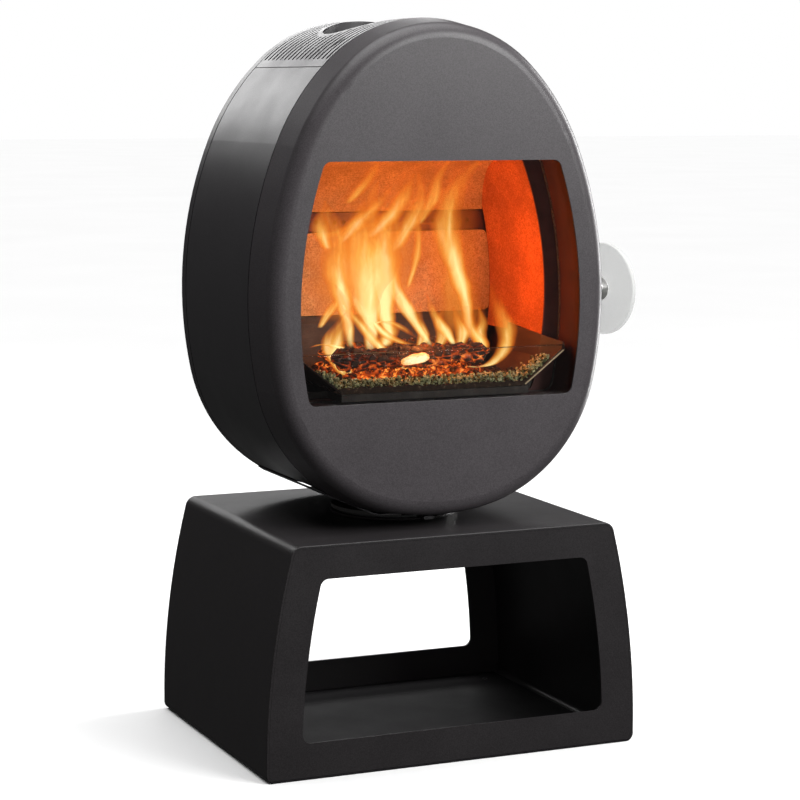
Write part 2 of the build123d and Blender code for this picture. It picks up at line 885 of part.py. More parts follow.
with BuildPart() as ember_bed:
    with BuildSketch(at_depth(guard_front + guard_glass + 1)):
        with BuildLine():
            bed_half = [(guard_foot - 5, hearth_top), (guard_foot + 21, bed_top)]
            Polyline([(-x, z) for x, z in reversed(bed_half)] + bed_half, close=True)
        make_face()
    extrude(amount=guard_front + guard_glass + 1 - bed_back)
save(ember_bed, "ember_bed")

log_radius = 21.0
log_edge = 4.0
log_lift = 0.2


def charred_log(x0, x1, y0, y1):
    """A plain log lying on the embers between two points."""
    length = math.hypot(x1 - x0, y1 - y0)
    turn = math.degrees(math.atan2(y1 - y0, x1 - x0))
    middle = ((x0 + x1) / 2, (y0 + y1) / 2, bed_top + log_radius + log_lift)
    with BuildPart(Plane(origin=middle, x_dir=(0, 0, 1), z_dir=(x1 - x0, y1 - y0, 0))) as log:
        Cylinder(radius=log_radius, height=length)
        chamfer(log.edges().filter_by(GeomType.CIRCLE), length=log_edge)
    return log


front_log = charred_log(-135, 125, -84, -62)
save(front_log, "front_log")

rear_log = charred_log(-120, 140, 4, -10)
save(rear_log, "rear_log")

# ---------------------------------------------------------------- combustion air

box_bottom = 356.0
box_top = 390.0
box_half = 70.0
box_sheet = 2.0
box_front = -95.0
duct_top = 490.0
port_count = 4
port_pitch = 24.0
port_slot = (40.0, 8.0)
port_y = -45.0

with BuildPart() as air_box:
    add(block(-box_half, box_half, box_front, shield_front, box_bottom, box_top))
    add(block(-box_half, box_half, firebox_back, shield_front, box_top, duct_top))
    add(
        block(
            -box_half + box_sheet, box_half - box_sheet, box_front + box_sheet, shield_front - box_sheet,
            box_bottom + box_sheet, box_top - box_sheet,
        ),
        mode=Mode.SUBTRACT,
    )
    add(
        block(
            -box_half + box_sheet, box_half - box_sheet, firebox_back + box_sheet,
            shield_front - box_sheet, box_top - box_sheet, duct_top - box_sheet,
        ),
        mode=Mode.SUBTRACT,
    )
    with BuildSketch(at_depth(shield_front - box_sheet)):
        with Locations((0, air_inlet_z)):
            Circle(air_inlet_radius - 5)
    extrude(amount=-box_sheet, mode=Mode.SUBTRACT)
    add(block(-38, 38, -68, -12, box_top - box_sheet, box_top + 10))
    add(block(-36.5, 36.5, -66.5, -13.5, box_top - box_sheet, box_top + 10), mode=Mode.SUBTRACT)
    with BuildSketch(Plane.XY.offset(box_bottom)):
        with Locations((0, port_y)):
            with GridLocations(port_pitch, 1, port_count, 1):
                SlotOverall(*port_slot, rotation=90)
    extrude(amount=box_sheet, mode=Mode.SUBTRACT)
    for y in (-82.8, -14.7):
        for x in (-66, 22):
            add(block(x, x + 44, y, y + 1.6, cover_flat + casing_sheet, box_bottom))
save(air_box, "air_box")

slide_plate_top = box_bottom - slide_gap
slide_sheet = 2.0
slide_y = -48.0
slide_width = 104.0
slide_depth = 66.0

lever_z = 344.6
lever_half = 6.0
lever_front = -122.0
lever_sheet = 2.2
drop_front = -84.0
drop_back = -81.8
knob_size = (16.0, 5.0)
knob_corner = 2.4
knob_length = 7.0

with BuildPart() as air_slide:
    with BuildSketch(Plane.XY.offset(slide_plate_top - slide_sheet)):
        with Locations((0, slide_y)):
            Rectangle(slide_width, slide_depth)
        with Locations((0, port_y)):
            with GridLocations(port_pitch, 1, port_count, 1):
                SlotOverall(*port_slot, rotation=90, mode=Mode.SUBTRACT)
    extrude(amount=slide_sheet)
    slide_front = slide_y - slide_depth / 2 + 3
    slide_bottom = slide_plate_top - slide_sheet
    add(block(-lever_half, lever_half, drop_front, slide_front, slide_bottom, slide_plate_top))
    add(block(-lever_half, lever_half, drop_front, drop_back, lever_z, slide_plate_top))
    add(block(-lever_half, lever_half, lever_front, drop_back, lever_z, lever_z + lever_sheet))
save(air_slide, "air_slide")

with BuildPart() as air_knob:
    with BuildSketch(at_depth(lever_front)):
        with Locations((0, lever_z + lever_sheet / 2)):
            RectangleRounded(*knob_size, knob_corner)
    extrude(amount=knob_length)
save(air_knob, "air_knob")

# ---------------------------------------------------------------- hinge and catch on the body

post_front = -95.5
post_back = -83.0

arm_height = 12.0
arm_x = -236.0
arm_sheet = 3.0
arm_web_half = 2.0

with BuildPart() as hinge_bracket:
    add(block(-243, -220, post_front, post_back, 560, 765))
    add(slab(oval(firebox_inset), -150, 0), mode=Mode.SUBTRACT)
    for height in hinge_heights:
        bottom = height - arm_height
        add(block(arm_x, arm_x + arm_sheet, hinge_y, post_front, bottom, height))
        arm_back = arm_x + arm_sheet
        add(block(hinge_x, arm_back, hinge_y - arm_web_half, hinge_y + arm_web_half, bottom, height))
        with BuildSketch(Plane.XY.offset(bottom)):
            with Locations((hinge_x, hinge_y)):
                Circle(hinge_eye_radius)
        extrude(amount=arm_height)
        with BuildSketch(Plane.XY.offset(bottom)):
            with Locations((hinge_x, hinge_y)):
                Circle(hinge_pin_radius)
        extrude(amount=arm_height, mode=Mode.SUBTRACT)
save(hinge_bracket, "hinge_bracket")

pin_length = 26.0

with BuildPart() as hinge_pins:
    for height in hinge_heights:
        with BuildSketch(Plane.XY.offset(height - arm_height)):
            with Locations((hinge_x, hinge_y)):
                Circle(hinge_pin_radius)
        extrude(amount=pin_length)
save(hinge_pins, "hinge_pins")

tongue_z = 640.0
tongue_sheet = 3.0
clip_sheet = 1.0

with BuildPart() as catch_spring:
    clip_bottom = tongue_z - slide_gap - clip_sheet
    clip_top = tongue_z + tongue_sheet + slide_gap
    add(block(232, 244, -98, -83, clip_bottom, clip_bottom + clip_sheet))
    add(block(232, 244, -98, -83, clip_top, clip_top + clip_sheet))
    add(block(220, 246, -84, -80, 615, 668))
    add(slab(oval(firebox_inset), -150, 0), mode=Mode.SUBTRACT)
save(catch_spring, "catch_spring")

# ---------------------------------------------------------------- door

dish_front_inset = 10.0
dish_edge = 23.0

with BuildPart() as door_cavity:
    add(
        shell_solid(
            dish_front_inset + door_sheet,
            door_front + door_sheet,
            door_sheet,
            dish_edge - door_sheet,
        )
    )

with BuildPart() as door_shell:
    add(shell_solid(dish_front_inset, door_front, 0, dish_edge))
    add(door_cavity.part, mode=Mode.SUBTRACT)
    with BuildSketch(at_depth(door_front)):
        add(window(0))
    extrude(amount=-door_sheet - 1, mode=Mode.SUBTRACT)
save(door_shell, "door_shell")

front_plate_back = door_front + door_sheet
seal_thickness = 3.0
glass_front = front_plate_back + seal_thickness
glass_thickness = 4.0
glass_back = glass_front + glass_thickness

with BuildPart() as glass_seal:
    add(slab(window(14), front_plate_back, glass_front))
    add(slab(window(6), front_plate_back, glass_front), mode=Mode.SUBTRACT)
save(glass_seal, "glass_seal")

with BuildPart() as door_glass:
    add(slab(window(16), glass_front, glass_back))
save(door_glass, "door_glass")

with BuildPart() as door_inner_frame:
    add(slab(window(7), glass_back, door_back - 1))
    add(slab(window(4), glass_back, door_back - 1), mode=Mode.SUBTRACT)
save(door_inner_frame, "door_inner_frame")

with BuildPart() as door_seal:
    add(slab(window(8), door_back - 1, firebox_front - firebox_sheet - slide_gap))
    add(slab(window(3), door_back - 1, firebox_front - firebox_sheet - slide_gap), mode=Mode.SUBTRACT)
save(door_seal, "door_seal")

clip_width = 16.0
clip_height = 14.0
clip_plate = 2.0
clip_offset = 16.0
clip_pitch = 130.0
clip_screw_shift = 4.0
clip_screw_radius = 1.5
clip_head_radius = 3.5
clip_head = 2.5
clip_rows = (window_top + clip_offset, window_bottom - clip_offset)
clip_spots = [(x, z) for z in clip_rows for x in (-clip_pitch, 0, clip_pitch)]

# Sheet clips press the glass onto its seal, each held by one screw
with BuildPart() as glass_clips:
    for x, z in clip_spots:
        with BuildSketch(at_depth(glass_back)):
            with Locations((x, z)):
                Rectangle(clip_width, clip_height)
        extrude(amount=-clip_plate)
        outward = clip_screw_shift if z > window_middle else -clip_screw_shift
        with BuildSketch(at_depth(front_plate_back)):
            with Locations((x, z + outward)):
                Circle(clip_screw_radius)
        extrude(amount=front_plate_back - glass_back)
        with BuildSketch(at_depth(glass_back + clip_plate)):
            with Locations((x, z + outward)):
                Circle(clip_head_radius)
        extrude(amount=-clip_head)
save(glass_clips, "glass_clips")

with BuildPart() as door_hinge_leaves:
    for height in hinge_heights:
        bottom = height + slide_gap
        leaf_height = pin_length - arm_height - slide_gap
        add(block(-290, -259, -152, -113, bottom, bottom + leaf_height))
    add(door_cavity.part, mode=Mode.INTERSECT)
    for height in hinge_heights:
        bottom = height + slide_gap
        leaf_height = pin_length - arm_height - slide_gap
        add(block(-262, hinge_x, hinge_y - 6, hinge_y + 3, bottom, bottom + leaf_height))
        with BuildSketch(Plane.XY.offset(bottom)):
            with Locations((hinge_x, hinge_y)):
                Circle(hinge_eye_radius)
        extrude(amount=leaf_height)
        with BuildSketch(Plane.XY.offset(bottom)):
            with Locations((hinge_x, hinge_y)):
                Circle(hinge_pin_radius + running_clearance)
        extrude(amount=leaf_height, mode=Mode.SUBTRACT)
save(door_hinge_leaves, "door_hinge_leaves")

with BuildPart() as catch_tongue:
    with BuildSketch(Plane.XY.offset(tongue_z)):
        with BuildLine():
            Polyline(
                (228.5, -130), (243, -130), (243, -90), (233, -90), (233, -106), (228.5, -106),
                close=True,
            )
        make_face()
    extrude(amount=tongue_sheet)
    add(slab(window(7), -160, door_back - 1), mode=Mode.SUBTRACT)
    add(slab(window(8.5), door_back - 1, -80), mode=Mode.SUBTRACT)
save(catch_tongue, "catch_tongue")

# ---------------------------------------------------------------- handle

splay = math.radians(handle_splay)
spindle_dir = Vector(math.cos(splay), math.sin(splay), 0)
disc_centre = Vector(*handle_centre)
disc_back = disc_centre - spindle_dir * (handle_glass / 2)
boss_back = disc_back - spindle_dir * boss_length
stem_length = 49.0
stem_start = boss_back - spindle_dir * stem_length
lug_half = 11.0

with BuildPart() as handle_bracket:
    add(block(247, 290, -150, -113, disc_centre.Z - lug_half, disc_centre.Z + lug_half))
    add(door_cavity.part, mode=Mode.INTERSECT)
    add(block(247, 262, -114, -84, disc_centre.Z - lug_half, disc_centre.Z + lug_half))
    with BuildSketch(Plane(origin=stem_start, z_dir=spindle_dir)):
        Circle(stem_radius)
    extrude(amount=stem_length, mode=Mode.SUBTRACT)
save(handle_bracket, "handle_bracket")

with BuildPart() as handle_stem:
    with BuildSketch(Plane(origin=boss_back, z_dir=spindle_dir)):
        Circle(boss_radius)
    extrude(amount=boss_length)
    fillet(handle_stem.edges().filter_by(GeomType.CIRCLE), radius=1.5)
    with BuildSketch(Plane(origin=stem_start, z_dir=spindle_dir)):
        Circle(stem_radius)
    extrude(amount=stem_length)
save(handle_stem, "handle_stem")

with BuildPart() as handle_disc:
    with BuildSketch(Plane(origin=disc_back, z_dir=spindle_dir)):
        Circle(handle_radius)
    extrude(amount=handle_glass)
    fillet(handle_disc.edges().filter_by(GeomType.CIRCLE), radius=2)
save(handle_disc, "handle_disc")
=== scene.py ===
import json
import math
import random

import bmesh
import bpy
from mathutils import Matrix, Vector, noise


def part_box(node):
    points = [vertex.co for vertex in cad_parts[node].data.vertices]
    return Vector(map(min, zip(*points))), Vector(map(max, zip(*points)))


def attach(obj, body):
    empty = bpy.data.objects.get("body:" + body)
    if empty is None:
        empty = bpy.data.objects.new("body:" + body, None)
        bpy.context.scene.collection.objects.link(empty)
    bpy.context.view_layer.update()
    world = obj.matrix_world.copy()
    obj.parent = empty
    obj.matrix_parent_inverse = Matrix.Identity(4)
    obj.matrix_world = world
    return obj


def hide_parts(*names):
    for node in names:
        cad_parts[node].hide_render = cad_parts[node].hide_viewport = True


# Wood burning stove on a turning pedestal: studio scene, materials, logs, embers and flames.
# Metres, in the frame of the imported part. Lengths named below are written in millimetres times MM.

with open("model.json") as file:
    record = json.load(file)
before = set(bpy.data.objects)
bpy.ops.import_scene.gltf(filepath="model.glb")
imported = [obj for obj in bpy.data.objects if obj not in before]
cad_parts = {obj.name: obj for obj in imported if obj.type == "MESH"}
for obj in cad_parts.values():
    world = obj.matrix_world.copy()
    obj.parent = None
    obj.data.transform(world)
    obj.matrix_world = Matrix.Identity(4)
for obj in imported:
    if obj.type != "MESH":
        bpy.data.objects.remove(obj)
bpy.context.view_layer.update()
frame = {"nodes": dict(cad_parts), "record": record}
nodes = frame["nodes"]

MM = 0.001
STOVE = "stove_body"

# Where the colour sockets stand in a mix node
MIX_COLOUR_A = 6
MIX_COLOUR_B = 7
MIX_COLOUR_OUT = 2


# ---------------------------------------------------------------- procedural surfaces


class Surface:
    """A Principled material. Sizes of patterns are in millimetres, in the part's own frame."""

    def __init__(self, name, **sockets):
        self.material = bpy.data.materials.new(name)
        self.material.use_nodes = True
        self.tree = self.material.node_tree
        self.shader = self.tree.nodes["Principled BSDF"]
        self.place = self.tree.nodes.new("ShaderNodeTexCoord").outputs["Object"]
        self.normal = None
        for socket, value in sockets.items():
            self.shader.inputs[socket.replace("_", " ")].default_value = value

    def node(self, kind, **settings):
        made = self.tree.nodes.new(kind)
        for setting, value in settings.items():
            setattr(made, setting, value)
        return made

    def join(self, source, target):
        self.tree.links.new(source, target)

    def stretched(self, stretch):
        """The part's coordinates with each axis squeezed by its stretch."""
        if stretch is None:
            return self.place
        mapping = self.node("ShaderNodeMapping")
        mapping.inputs["Scale"].default_value = [1 / s for s in stretch]
        self.join(self.place, mapping.inputs["Vector"])
        return mapping.outputs["Vector"]

    def cloud(self, size, detail=3.0, stretch=None):
        """Smooth noise from 0 to 1."""
        texture = self.node("ShaderNodeTexNoise")
        texture.inputs["Scale"].default_value = 1 / (size * MM)
        texture.inputs["Detail"].default_value = detail
        self.join(self.stretched(stretch), texture.inputs["Vector"])
        return texture.outputs["Fac"]

    def grains(self, size, output="Distance", stretch=None):
        """Voronoi cells: the distance inside each, or one random shade for each."""
        texture = self.node("ShaderNodeTexVoronoi", feature="F1")
        texture.inputs["Scale"].default_value = 1 / (size * MM)
        self.join(self.stretched(stretch), texture.inputs["Vector"])
        return texture.outputs[output]

    def attribute(self, name):
        return self.node("ShaderNodeAttribute", attribute_name=name).outputs["Fac"]

    def maths(self, operation, a, b):
        made = self.node("ShaderNodeMath", operation=operation)
        for socket, value in zip(made.inputs, (a, b)):
            if isinstance(value, (int, float)):
                socket.default_value = value
            else:
                self.join(value, socket)
        return made.outputs[0]

    def span(self, value, low, high, to_low, to_high):
        """The value, from low to high, as a number from to_low to to_high."""
        made = self.node("ShaderNodeMapRange")
        for socket, number in zip(made.inputs[1:5], (low, high, to_low, to_high)):
            socket.default_value = number
        self.join(value, made.inputs[0])
        return made.outputs[0]

    def ramp(self, value, *stops):
        """A colour for the value, from (position, colour) stops."""
        made = self.node("ShaderNodeValToRGB")
        elements = made.color_ramp.elements
        while len(elements) < len(stops):
            elements.new(0.5)
        for element, (position, colour) in zip(elements, stops):
            element.position = position
            element.color = (*colour, 1)
        self.join(value, made.inputs["Fac"])
        return made.outputs["Color"]

    def mix(self, share, a, b):
        """Colour a where share is 0 and colour b where it is 1."""
        made = self.node("ShaderNodeMix", data_type="RGBA")
        self.join(share, made.inputs["Factor"])
        self.join(a, made.inputs[MIX_COLOUR_A])
        self.join(b, made.inputs[MIX_COLOUR_B])
        return made.outputs[MIX_COLOUR_OUT]

    def set(self, socket, source):
        self.join(source, self.shader.inputs[socket])

    def bump(self, height, depth):
        """Adds a relief of that depth, in millimetres."""
        made = self.node("ShaderNodeBump")
        made.inputs["Distance"].default_value = depth * MM
        made.inputs["Strength"].default_value = 1.0
        self.join(height, made.inputs["Height"])
        if self.normal is not None:
            self.join(self.normal, made.inputs["Normal"])
        self.normal = made.outputs["Normal"]
        self.set("Normal", self.normal)


def shade(colour, factor):
    """The colour, lighter or darker by the factor."""
    return tuple(min(channel * factor, 1.0) for channel in colour)


def stove_paint(name, colour, roughness, specular):
    """Baked-on matt stove paint: a fine sandy skin with lighter grains and faint clouding."""
    paint = Surface(name, **{"Specular_IOR_Level": specular})
    sand = paint.cloud(1.5, detail=2)
    cloud = paint.cloud(70)
    dark = paint.ramp(sand, (0.32, shade(colour, 0.72)), (0.68, shade(colour, 1.35)))
    light = paint.ramp(sand, (0.32, shade(colour, 0.9)), (0.68, shade(colour, 1.6)))
    paint.set("Base Color", paint.mix(cloud, dark, light))
    paint.set("Roughness", paint.span(cloud, 0.3, 0.7, roughness - 0.03, roughness + 0.04))
    paint.bump(sand, 0.05)
    paint.bump(paint.cloud(0.7, detail=1), 0.03)
    return paint.material


def brushed_metal(name, colour, roughness, along):
    """Ground metal: fine lines along one axis over slight clouding."""
    metal = Surface(name, Metallic=1.0)
    lines = metal.cloud(0.5, detail=2, stretch=along)
    cloud = metal.cloud(25)
    metal.set("Base Color", metal.ramp(lines, (0.3, shade(colour, 0.85)), (0.7, shade(colour, 1.1))))
    metal.set("Roughness", metal.span(cloud, 0.3, 0.7, roughness - 0.05, roughness + 0.07))
    metal.bump(lines, 0.01)
    return metal.material


def galvanised(name):
    """Zinc-coated sheet with its patchwork of crystals."""
    zinc = Surface(name, Metallic=1.0)
    crystals = zinc.grains(14, output="Color")
    zinc.set("Base Color", zinc.ramp(crystals, (0.1, (0.34, 0.35, 0.37)), (0.9, (0.56, 0.57, 0.59))))
    zinc.set("Roughness", zinc.span(crystals, 0.0, 1.0, 0.32, 0.5))
    zinc.bump(zinc.cloud(5), 0.02)
    return zinc.material


def sooty_steel(name, colour, roughness):
    """Heat-darkened steel with a thin uneven coat of soot."""
    steel = Surface(name, Metallic=0.2)
    soot = steel.cloud(30, detail=6)
    steel.set("Base Color", steel.ramp(soot, (0.35, shade(colour, 0.75)), (0.65, shade(colour, 1.2))))
    steel.set("Roughness", steel.span(soot, 0.3, 0.7, roughness, roughness + 0.2))
    steel.bump(steel.cloud(2), 0.03)
    return steel.material


def cast_iron(name, colour):
    """Sand-cast iron: a pebbled skin, dusted with pale ash."""
    iron = Surface(name, Specular_IOR_Level=0.35)
    skin = iron.cloud(2.2, detail=4)
    ash = iron.cloud(22, detail=5)
    bare = iron.ramp(skin, (0.3, shade(colour, 0.7)), (0.7, shade(colour, 1.3)))
    dusty = iron.ramp(skin, (0.3, shade(colour, 1.4)), (0.7, shade(colour, 2.2)))
    iron.set("Base Color", iron.mix(iron.span(ash, 0.5, 0.7, 0.0, 0.8), bare, dusty))
    iron.set("Roughness", iron.span(skin, 0.3, 0.7, 0.55, 0.75))
    iron.bump(skin, 0.3)
    return iron.material


def vermiculite(name, dark, light):
    """Pressed vermiculite board: a packed mass of flakes in different shades."""
    board = Surface(name, Roughness=0.9, Specular_IOR_Level=0.25)
    flakes = board.grains(2.0, output="Color")
    stain = board.cloud(55, detail=4)
    pale = board.ramp(flakes, (0.1, shade(dark, 1.1)), (0.45, light), (0.9, shade(light, 1.25)))
    dull = board.ramp(flakes, (0.1, dark), (0.5, shade(light, 0.75)), (0.9, light))
    board.set("Base Color", board.mix(board.span(stain, 0.4, 0.62, 0.0, 1.0), dull, pale))
    board.bump(flakes, 0.25)
    board.bump(board.grains(1.3), 0.15)
    return board.material


def rope(name):
    """Braided glass-fibre seal."""
    braid = Surface(name, Roughness=0.85)
    strands = braid.grains(2.2, stretch=(1, 1, 1.8))
    # Each strand is lighter in its middle and darker towards its edges: painted shade in the braid's grooves.
    braid.set("Base Color", braid.ramp(strands, (0.1, (0.16, 0.15, 0.14)), (0.8, (0.05, 0.05, 0.05))))
    braid.bump(strands, 0.5)
    return braid.material


def pane(name, tint):
    """Clear heat-proof glass: what is behind it shows through its tint, under a mirror's faint gloss."""
    glass = Surface(name)
    clear = glass.node("ShaderNodeBsdfTransparent")
    clear.inputs["Color"].default_value = (*tint, 1)
    mirror = glass.node("ShaderNodeBsdfAnisotropic")
    haze = glass.cloud(90, detail=5)
    glass.join(glass.span(haze, 0.45, 0.8, 0.0, 0.05), mirror.inputs["Roughness"])
    gloss = glass.node("ShaderNodeFresnel")
    gloss.inputs["IOR"].default_value = 1.45
    blend = glass.node("ShaderNodeMixShader")
    glass.join(gloss.outputs[0], blend.inputs[0])
    glass.join(clear.outputs[0], blend.inputs[1])
    glass.join(mirror.outputs[0], blend.inputs[2])
    glass.join(blend.outputs[0], glass.tree.nodes["Material Output"].inputs["Surface"])
    glass.tree.nodes.remove(glass.shader)
    return glass.material


def frosted(name):
    """Etched glass of the handle: milky, with a fine satin skin."""
    glass = Surface(name, Alpha=0.3, IOR=1.47)
    grain = glass.cloud(1.1, detail=2)
    glass.set("Base Color", glass.ramp(grain, (0.3, (0.80, 0.82, 0.79)), (0.7, (0.88, 0.90, 0.87))))
    glass.set("Roughness", glass.span(grain, 0.3, 0.7, 0.38, 0.5))
    glass.bump(grain, 0.02)
    return glass.material


def plastic(name, colour):
    """Slightly mottled low-friction plastic."""
    slip = Surface(name)
    mottle = slip.cloud(3)
    slip.set("Base Color", slip.ramp(mottle, (0.3, shade(colour, 0.85)), (0.7, shade(colour, 1.15))))
    slip.set("Roughness", slip.span(mottle, 0.3, 0.7, 0.4, 0.55))
    slip.bump(mottle, 0.03)
    return slip.material


def glowing_char(name, colour, ash_colour, glow_reach):
    """Charcoal: black where it is whole, grey with ash on its crests, and glowing in its cracks."""
    char = Surface(name, Specular_IOR_Level=0.3, Roughness=0.85)
    crack = char.attribute("crack")
    heat = char.attribute("warmth")
    dust = char.cloud(7, detail=5)
    black = char.ramp(dust, (0.35, shade(colour, 0.6)), (0.6, colour), (0.75, ash_colour))
    char.set("Base Color", black)
    flicker = char.span(char.cloud(11, detail=3), 0.35, 0.65, 0.3, 1.2)
    glow = char.maths("MULTIPLY", char.maths("MULTIPLY", crack, heat), flicker)
    char.set(
        "Emission Color",
        char.ramp(glow, (0.0, (0.6, 0.03, 0.0)), (0.45, (1.0, 0.13, 0.01)), (1.0, (1.0, 0.36, 0.06))),
    )
    char.set("Emission Strength", char.span(glow, 0.08, 1.0, 0.0, glow_reach))
    char.bump(char.cloud(2.5, detail=4), 0.5)
    return char.material


def pebbles(name):
    """Stones and ash lumps, each with a shade of its own."""
    stone = Surface(name, Roughness=0.85, Specular_IOR_Level=0.35)
    tone = stone.attribute("tone")
    speck = stone.cloud(1.2, detail=4)
    colours = stone.ramp(
        tone,
        (0.0, (0.03, 0.04, 0.02)),
        (0.25, (0.34, 0.42, 0.20)),
        (0.5, (0.70, 0.80, 0.45)),
        (1.0, (0.95, 1.0, 0.75)),
    )
    darker = stone.ramp(tone, (0.0, (0.012, 0.016, 0.01)), (1.0, (0.50, 0.58, 0.32)))
    stone.set("Base Color", stone.mix(stone.span(speck, 0.4, 0.6, 0.0, 1.0), darker, colours))
    stone.bump(speck, 0.4)
    return stone.material


def fire(name):
    """Burning gas: pale in the thick of it, orange and clearing towards its outline and tip."""
    flame = Surface(name)
    edge = flame.attribute("edge")
    rise = flame.attribute("rise")
    power = flame.attribute("power")
    streaks = flame.cloud(15, detail=4, stretch=(1, 1, 4.5))
    body = flame.maths("POWER", flame.maths("SUBTRACT", 1.0, edge), 0.8)
    cooling = flame.span(rise, 0.3, 0.95, 1.0, 0.14)
    drift = flame.span(streaks, 0.3, 0.7, -0.2, 0.2)
    shape = flame.maths("MULTIPLY", body, cooling)
    heat = flame.maths("MULTIPLY", flame.maths("ADD", shape, flame.maths("MULTIPLY", drift, body)), power)
    colour = flame.ramp(
        heat,
        (0.04, (1.0, 0.16, 0.01)),
        (0.3, (1.0, 0.27, 0.025)),
        (0.55, (1.0, 0.47, 0.08)),
        (0.9, (1.0, 0.78, 0.33)),
    )
    opening = flame.span(rise, 0.0, 0.1, 0.0, 1.0)
    cover = flame.maths("MULTIPLY", flame.span(heat, 0.0, 0.8, 0.0, 0.72), opening)
    light = flame.node("ShaderNodeEmission")
    flame.join(colour, light.inputs["Color"])
    flame.join(flame.span(heat, 0.0, 1.0, 0.85, 1.45), light.inputs["Strength"])
    clear = flame.node("ShaderNodeBsdfTransparent")
    blend = flame.node("ShaderNodeMixShader")
    flame.join(cover, blend.inputs[0])
    flame.join(clear.outputs[0], blend.inputs[1])
    flame.join(light.outputs[0], blend.inputs[2])
    flame.join(blend.outputs[0], flame.tree.nodes["Material Output"].inputs["Surface"])
    flame.tree.nodes.remove(flame.shader)
    return flame.material


BODY_COLOUR = (0.040, 0.037, 0.040)
# The door wears the body's black paint; its colour is painted lighter, standing in for the studio light on
# the stove's front.
DOOR_COLOUR_PAINTED_LIGHTER = (0.058, 0.052, 0.056)
# The pedestal wears the body's black paint too; its colour is painted darker, as painted shade.
PEDESTAL_COLOUR_PAINTED_DARKER = (0.020, 0.018, 0.019)
STEEL = (0.50, 0.49, 0.48)

finishes = {
    "body_paint": stove_paint("body_paint", BODY_COLOUR, 0.33, 0.5),
    "door_paint": stove_paint("door_paint", DOOR_COLOUR_PAINTED_LIGHTER, 0.38, 0.5),
    "pedestal_paint": stove_paint("pedestal_paint", PEDESTAL_COLOUR_PAINTED_DARKER, 0.42, 0.35),
    "zinc_screws": brushed_metal("zinc_screws", (0.42, 0.42, 0.43), 0.35, (1, 1, 6)),
    "glide_plastic": plastic("glide_plastic", (0.05, 0.05, 0.05)),
    "bush_brass": brushed_metal("bush_brass", (0.60, 0.42, 0.18), 0.35, (6, 6, 1)),
    "bare_steel": brushed_metal("bare_steel", shade(STEEL, 0.7), 0.38, (8, 1, 1)),
    "galvanised_sheet": galvanised("galvanised_sheet"),
    # Sooty steel whose reddish brown is painted firelight: the firebox's steel itself is black.
    "firebox_steel": sooty_steel("firebox_steel", (0.105, 0.045, 0.040), 0.5),
    "flue_steel": sooty_steel("flue_steel", (0.05, 0.048, 0.05), 0.4),
    "vermiculite": vermiculite("vermiculite", (0.31, 0.20, 0.09), (0.50, 0.35, 0.17)),
    "cast_iron": cast_iron("cast_iron", (0.035, 0.032, 0.030)),
    "hearth_sheet": sooty_steel("hearth_sheet", (0.085, 0.06, 0.05), 0.32),
    "clear_glass": pane("clear_glass", (0.98, 0.97, 0.95)),
    "window_glass": pane("window_glass", (1.0, 0.99, 0.98)),
    "brushed_steel": brushed_metal("brushed_steel", (0.80, 0.79, 0.78), 0.3, (8, 1, 1)),
    "spring_steel": brushed_metal("spring_steel", (0.30, 0.30, 0.32), 0.3, (1, 8, 1)),
    "rope_seal": rope("rope_seal"),
    "frosted_glass": frosted("frosted_glass"),
}

# Board at the sides, painted redder: the red stands in for the embers' and flames' light falling on it
side_board_painted_firelight = vermiculite("vermiculite_side_painted_firelight", (0.36, 0.11, 0.03), (0.54, 0.19, 0.055))


def wear(piece, material):
    """Gives a piece its material."""
    if piece.data.materials:
        piece.data.materials[0] = material
    else:
        piece.data.materials.append(material)


for part in frame["record"]["subparts"]:
    if part["material_slot"] in finishes:
        wear(nodes[part["node"]], finishes[part["material_slot"]])
for liner in ("left_liner", "right_liner"):
    wear(nodes[liner], side_board_painted_firelight)
# The log store's floor: darker and rougher than the pedestal's paint, its darker colour painted shade for the
# hollow.
wear(nodes["pedestal_base_plate"], stove_paint("base_plate_paint_painted_shade", (0.012, 0.011, 0.012), 0.62, 0.15))
# The door's inner frame: sooty steel whose reddish colour is painted firelight on black steel.
wear(nodes["door_inner_frame"], sooty_steel("door_frame_steel_painted_firelight", (0.065, 0.028, 0.026), 0.5))


# ---------------------------------------------------------------- fire bed

bed_low, bed_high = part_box("ember_bed")
bed_middle = (bed_low.x + bed_high.x) / 2
bed_front = bed_low.y
bed_back = bed_high.y
bed_floor = bed_low.z
bed_top = bed_high.z
wing_foot = 146 * MM
wing_slope = 0.81
bed_side_gap = 8 * MM
bed_front_gap = 1 * MM
gravel_height = 9 * MM
mound_height = 4 * MM
mound_extra = 5 * MM
lump_height = 3 * MM
crack_depth = 2.5 * MM
foot_narrowing = 0.93


def smooth_step(value, low, high):
    t = min(max((value - low) / (high - low), 0.0), 1.0)
    return t * t * (3 - 2 * t)


def piece_from(name, mesh_data, material):
    """Turns a bmesh into a piece that rides on the stove body."""
    mesh = bpy.data.meshes.new(name)
    mesh_data.to_mesh(mesh)
    mesh_data.free()
    piece = bpy.data.objects.new(name, mesh)
    bpy.context.scene.collection.objects.link(piece)
    mesh.materials.append(material)
    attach(piece, STOVE)
    return piece


def join_rings(mesh_data, rings):
    """Faces between each ring of vertices and the next."""
    for ring, after in zip(rings, rings[1:]):
        for spoke in range(len(ring)):
            following = (spoke + 1) % len(ring)
            mesh_data.faces.new((ring[spoke], ring[following], after[following], after[spoke]))


def surface_at(x, y):
    """Height of the bed: low gravel along the glass, a mound of embers behind it."""
    mound = smooth_step(y, bed_front + 25 * MM, bed_front + 75 * MM)
    ends = 1 - smooth_step(abs(x - bed_middle), 90 * MM, 150 * MM)
    lumps = noise.noise(Vector((x, y, 0)) * 45) * lump_height
    return bed_floor + gravel_height + mound * (mound_height + mound_extra * ends) + lumps


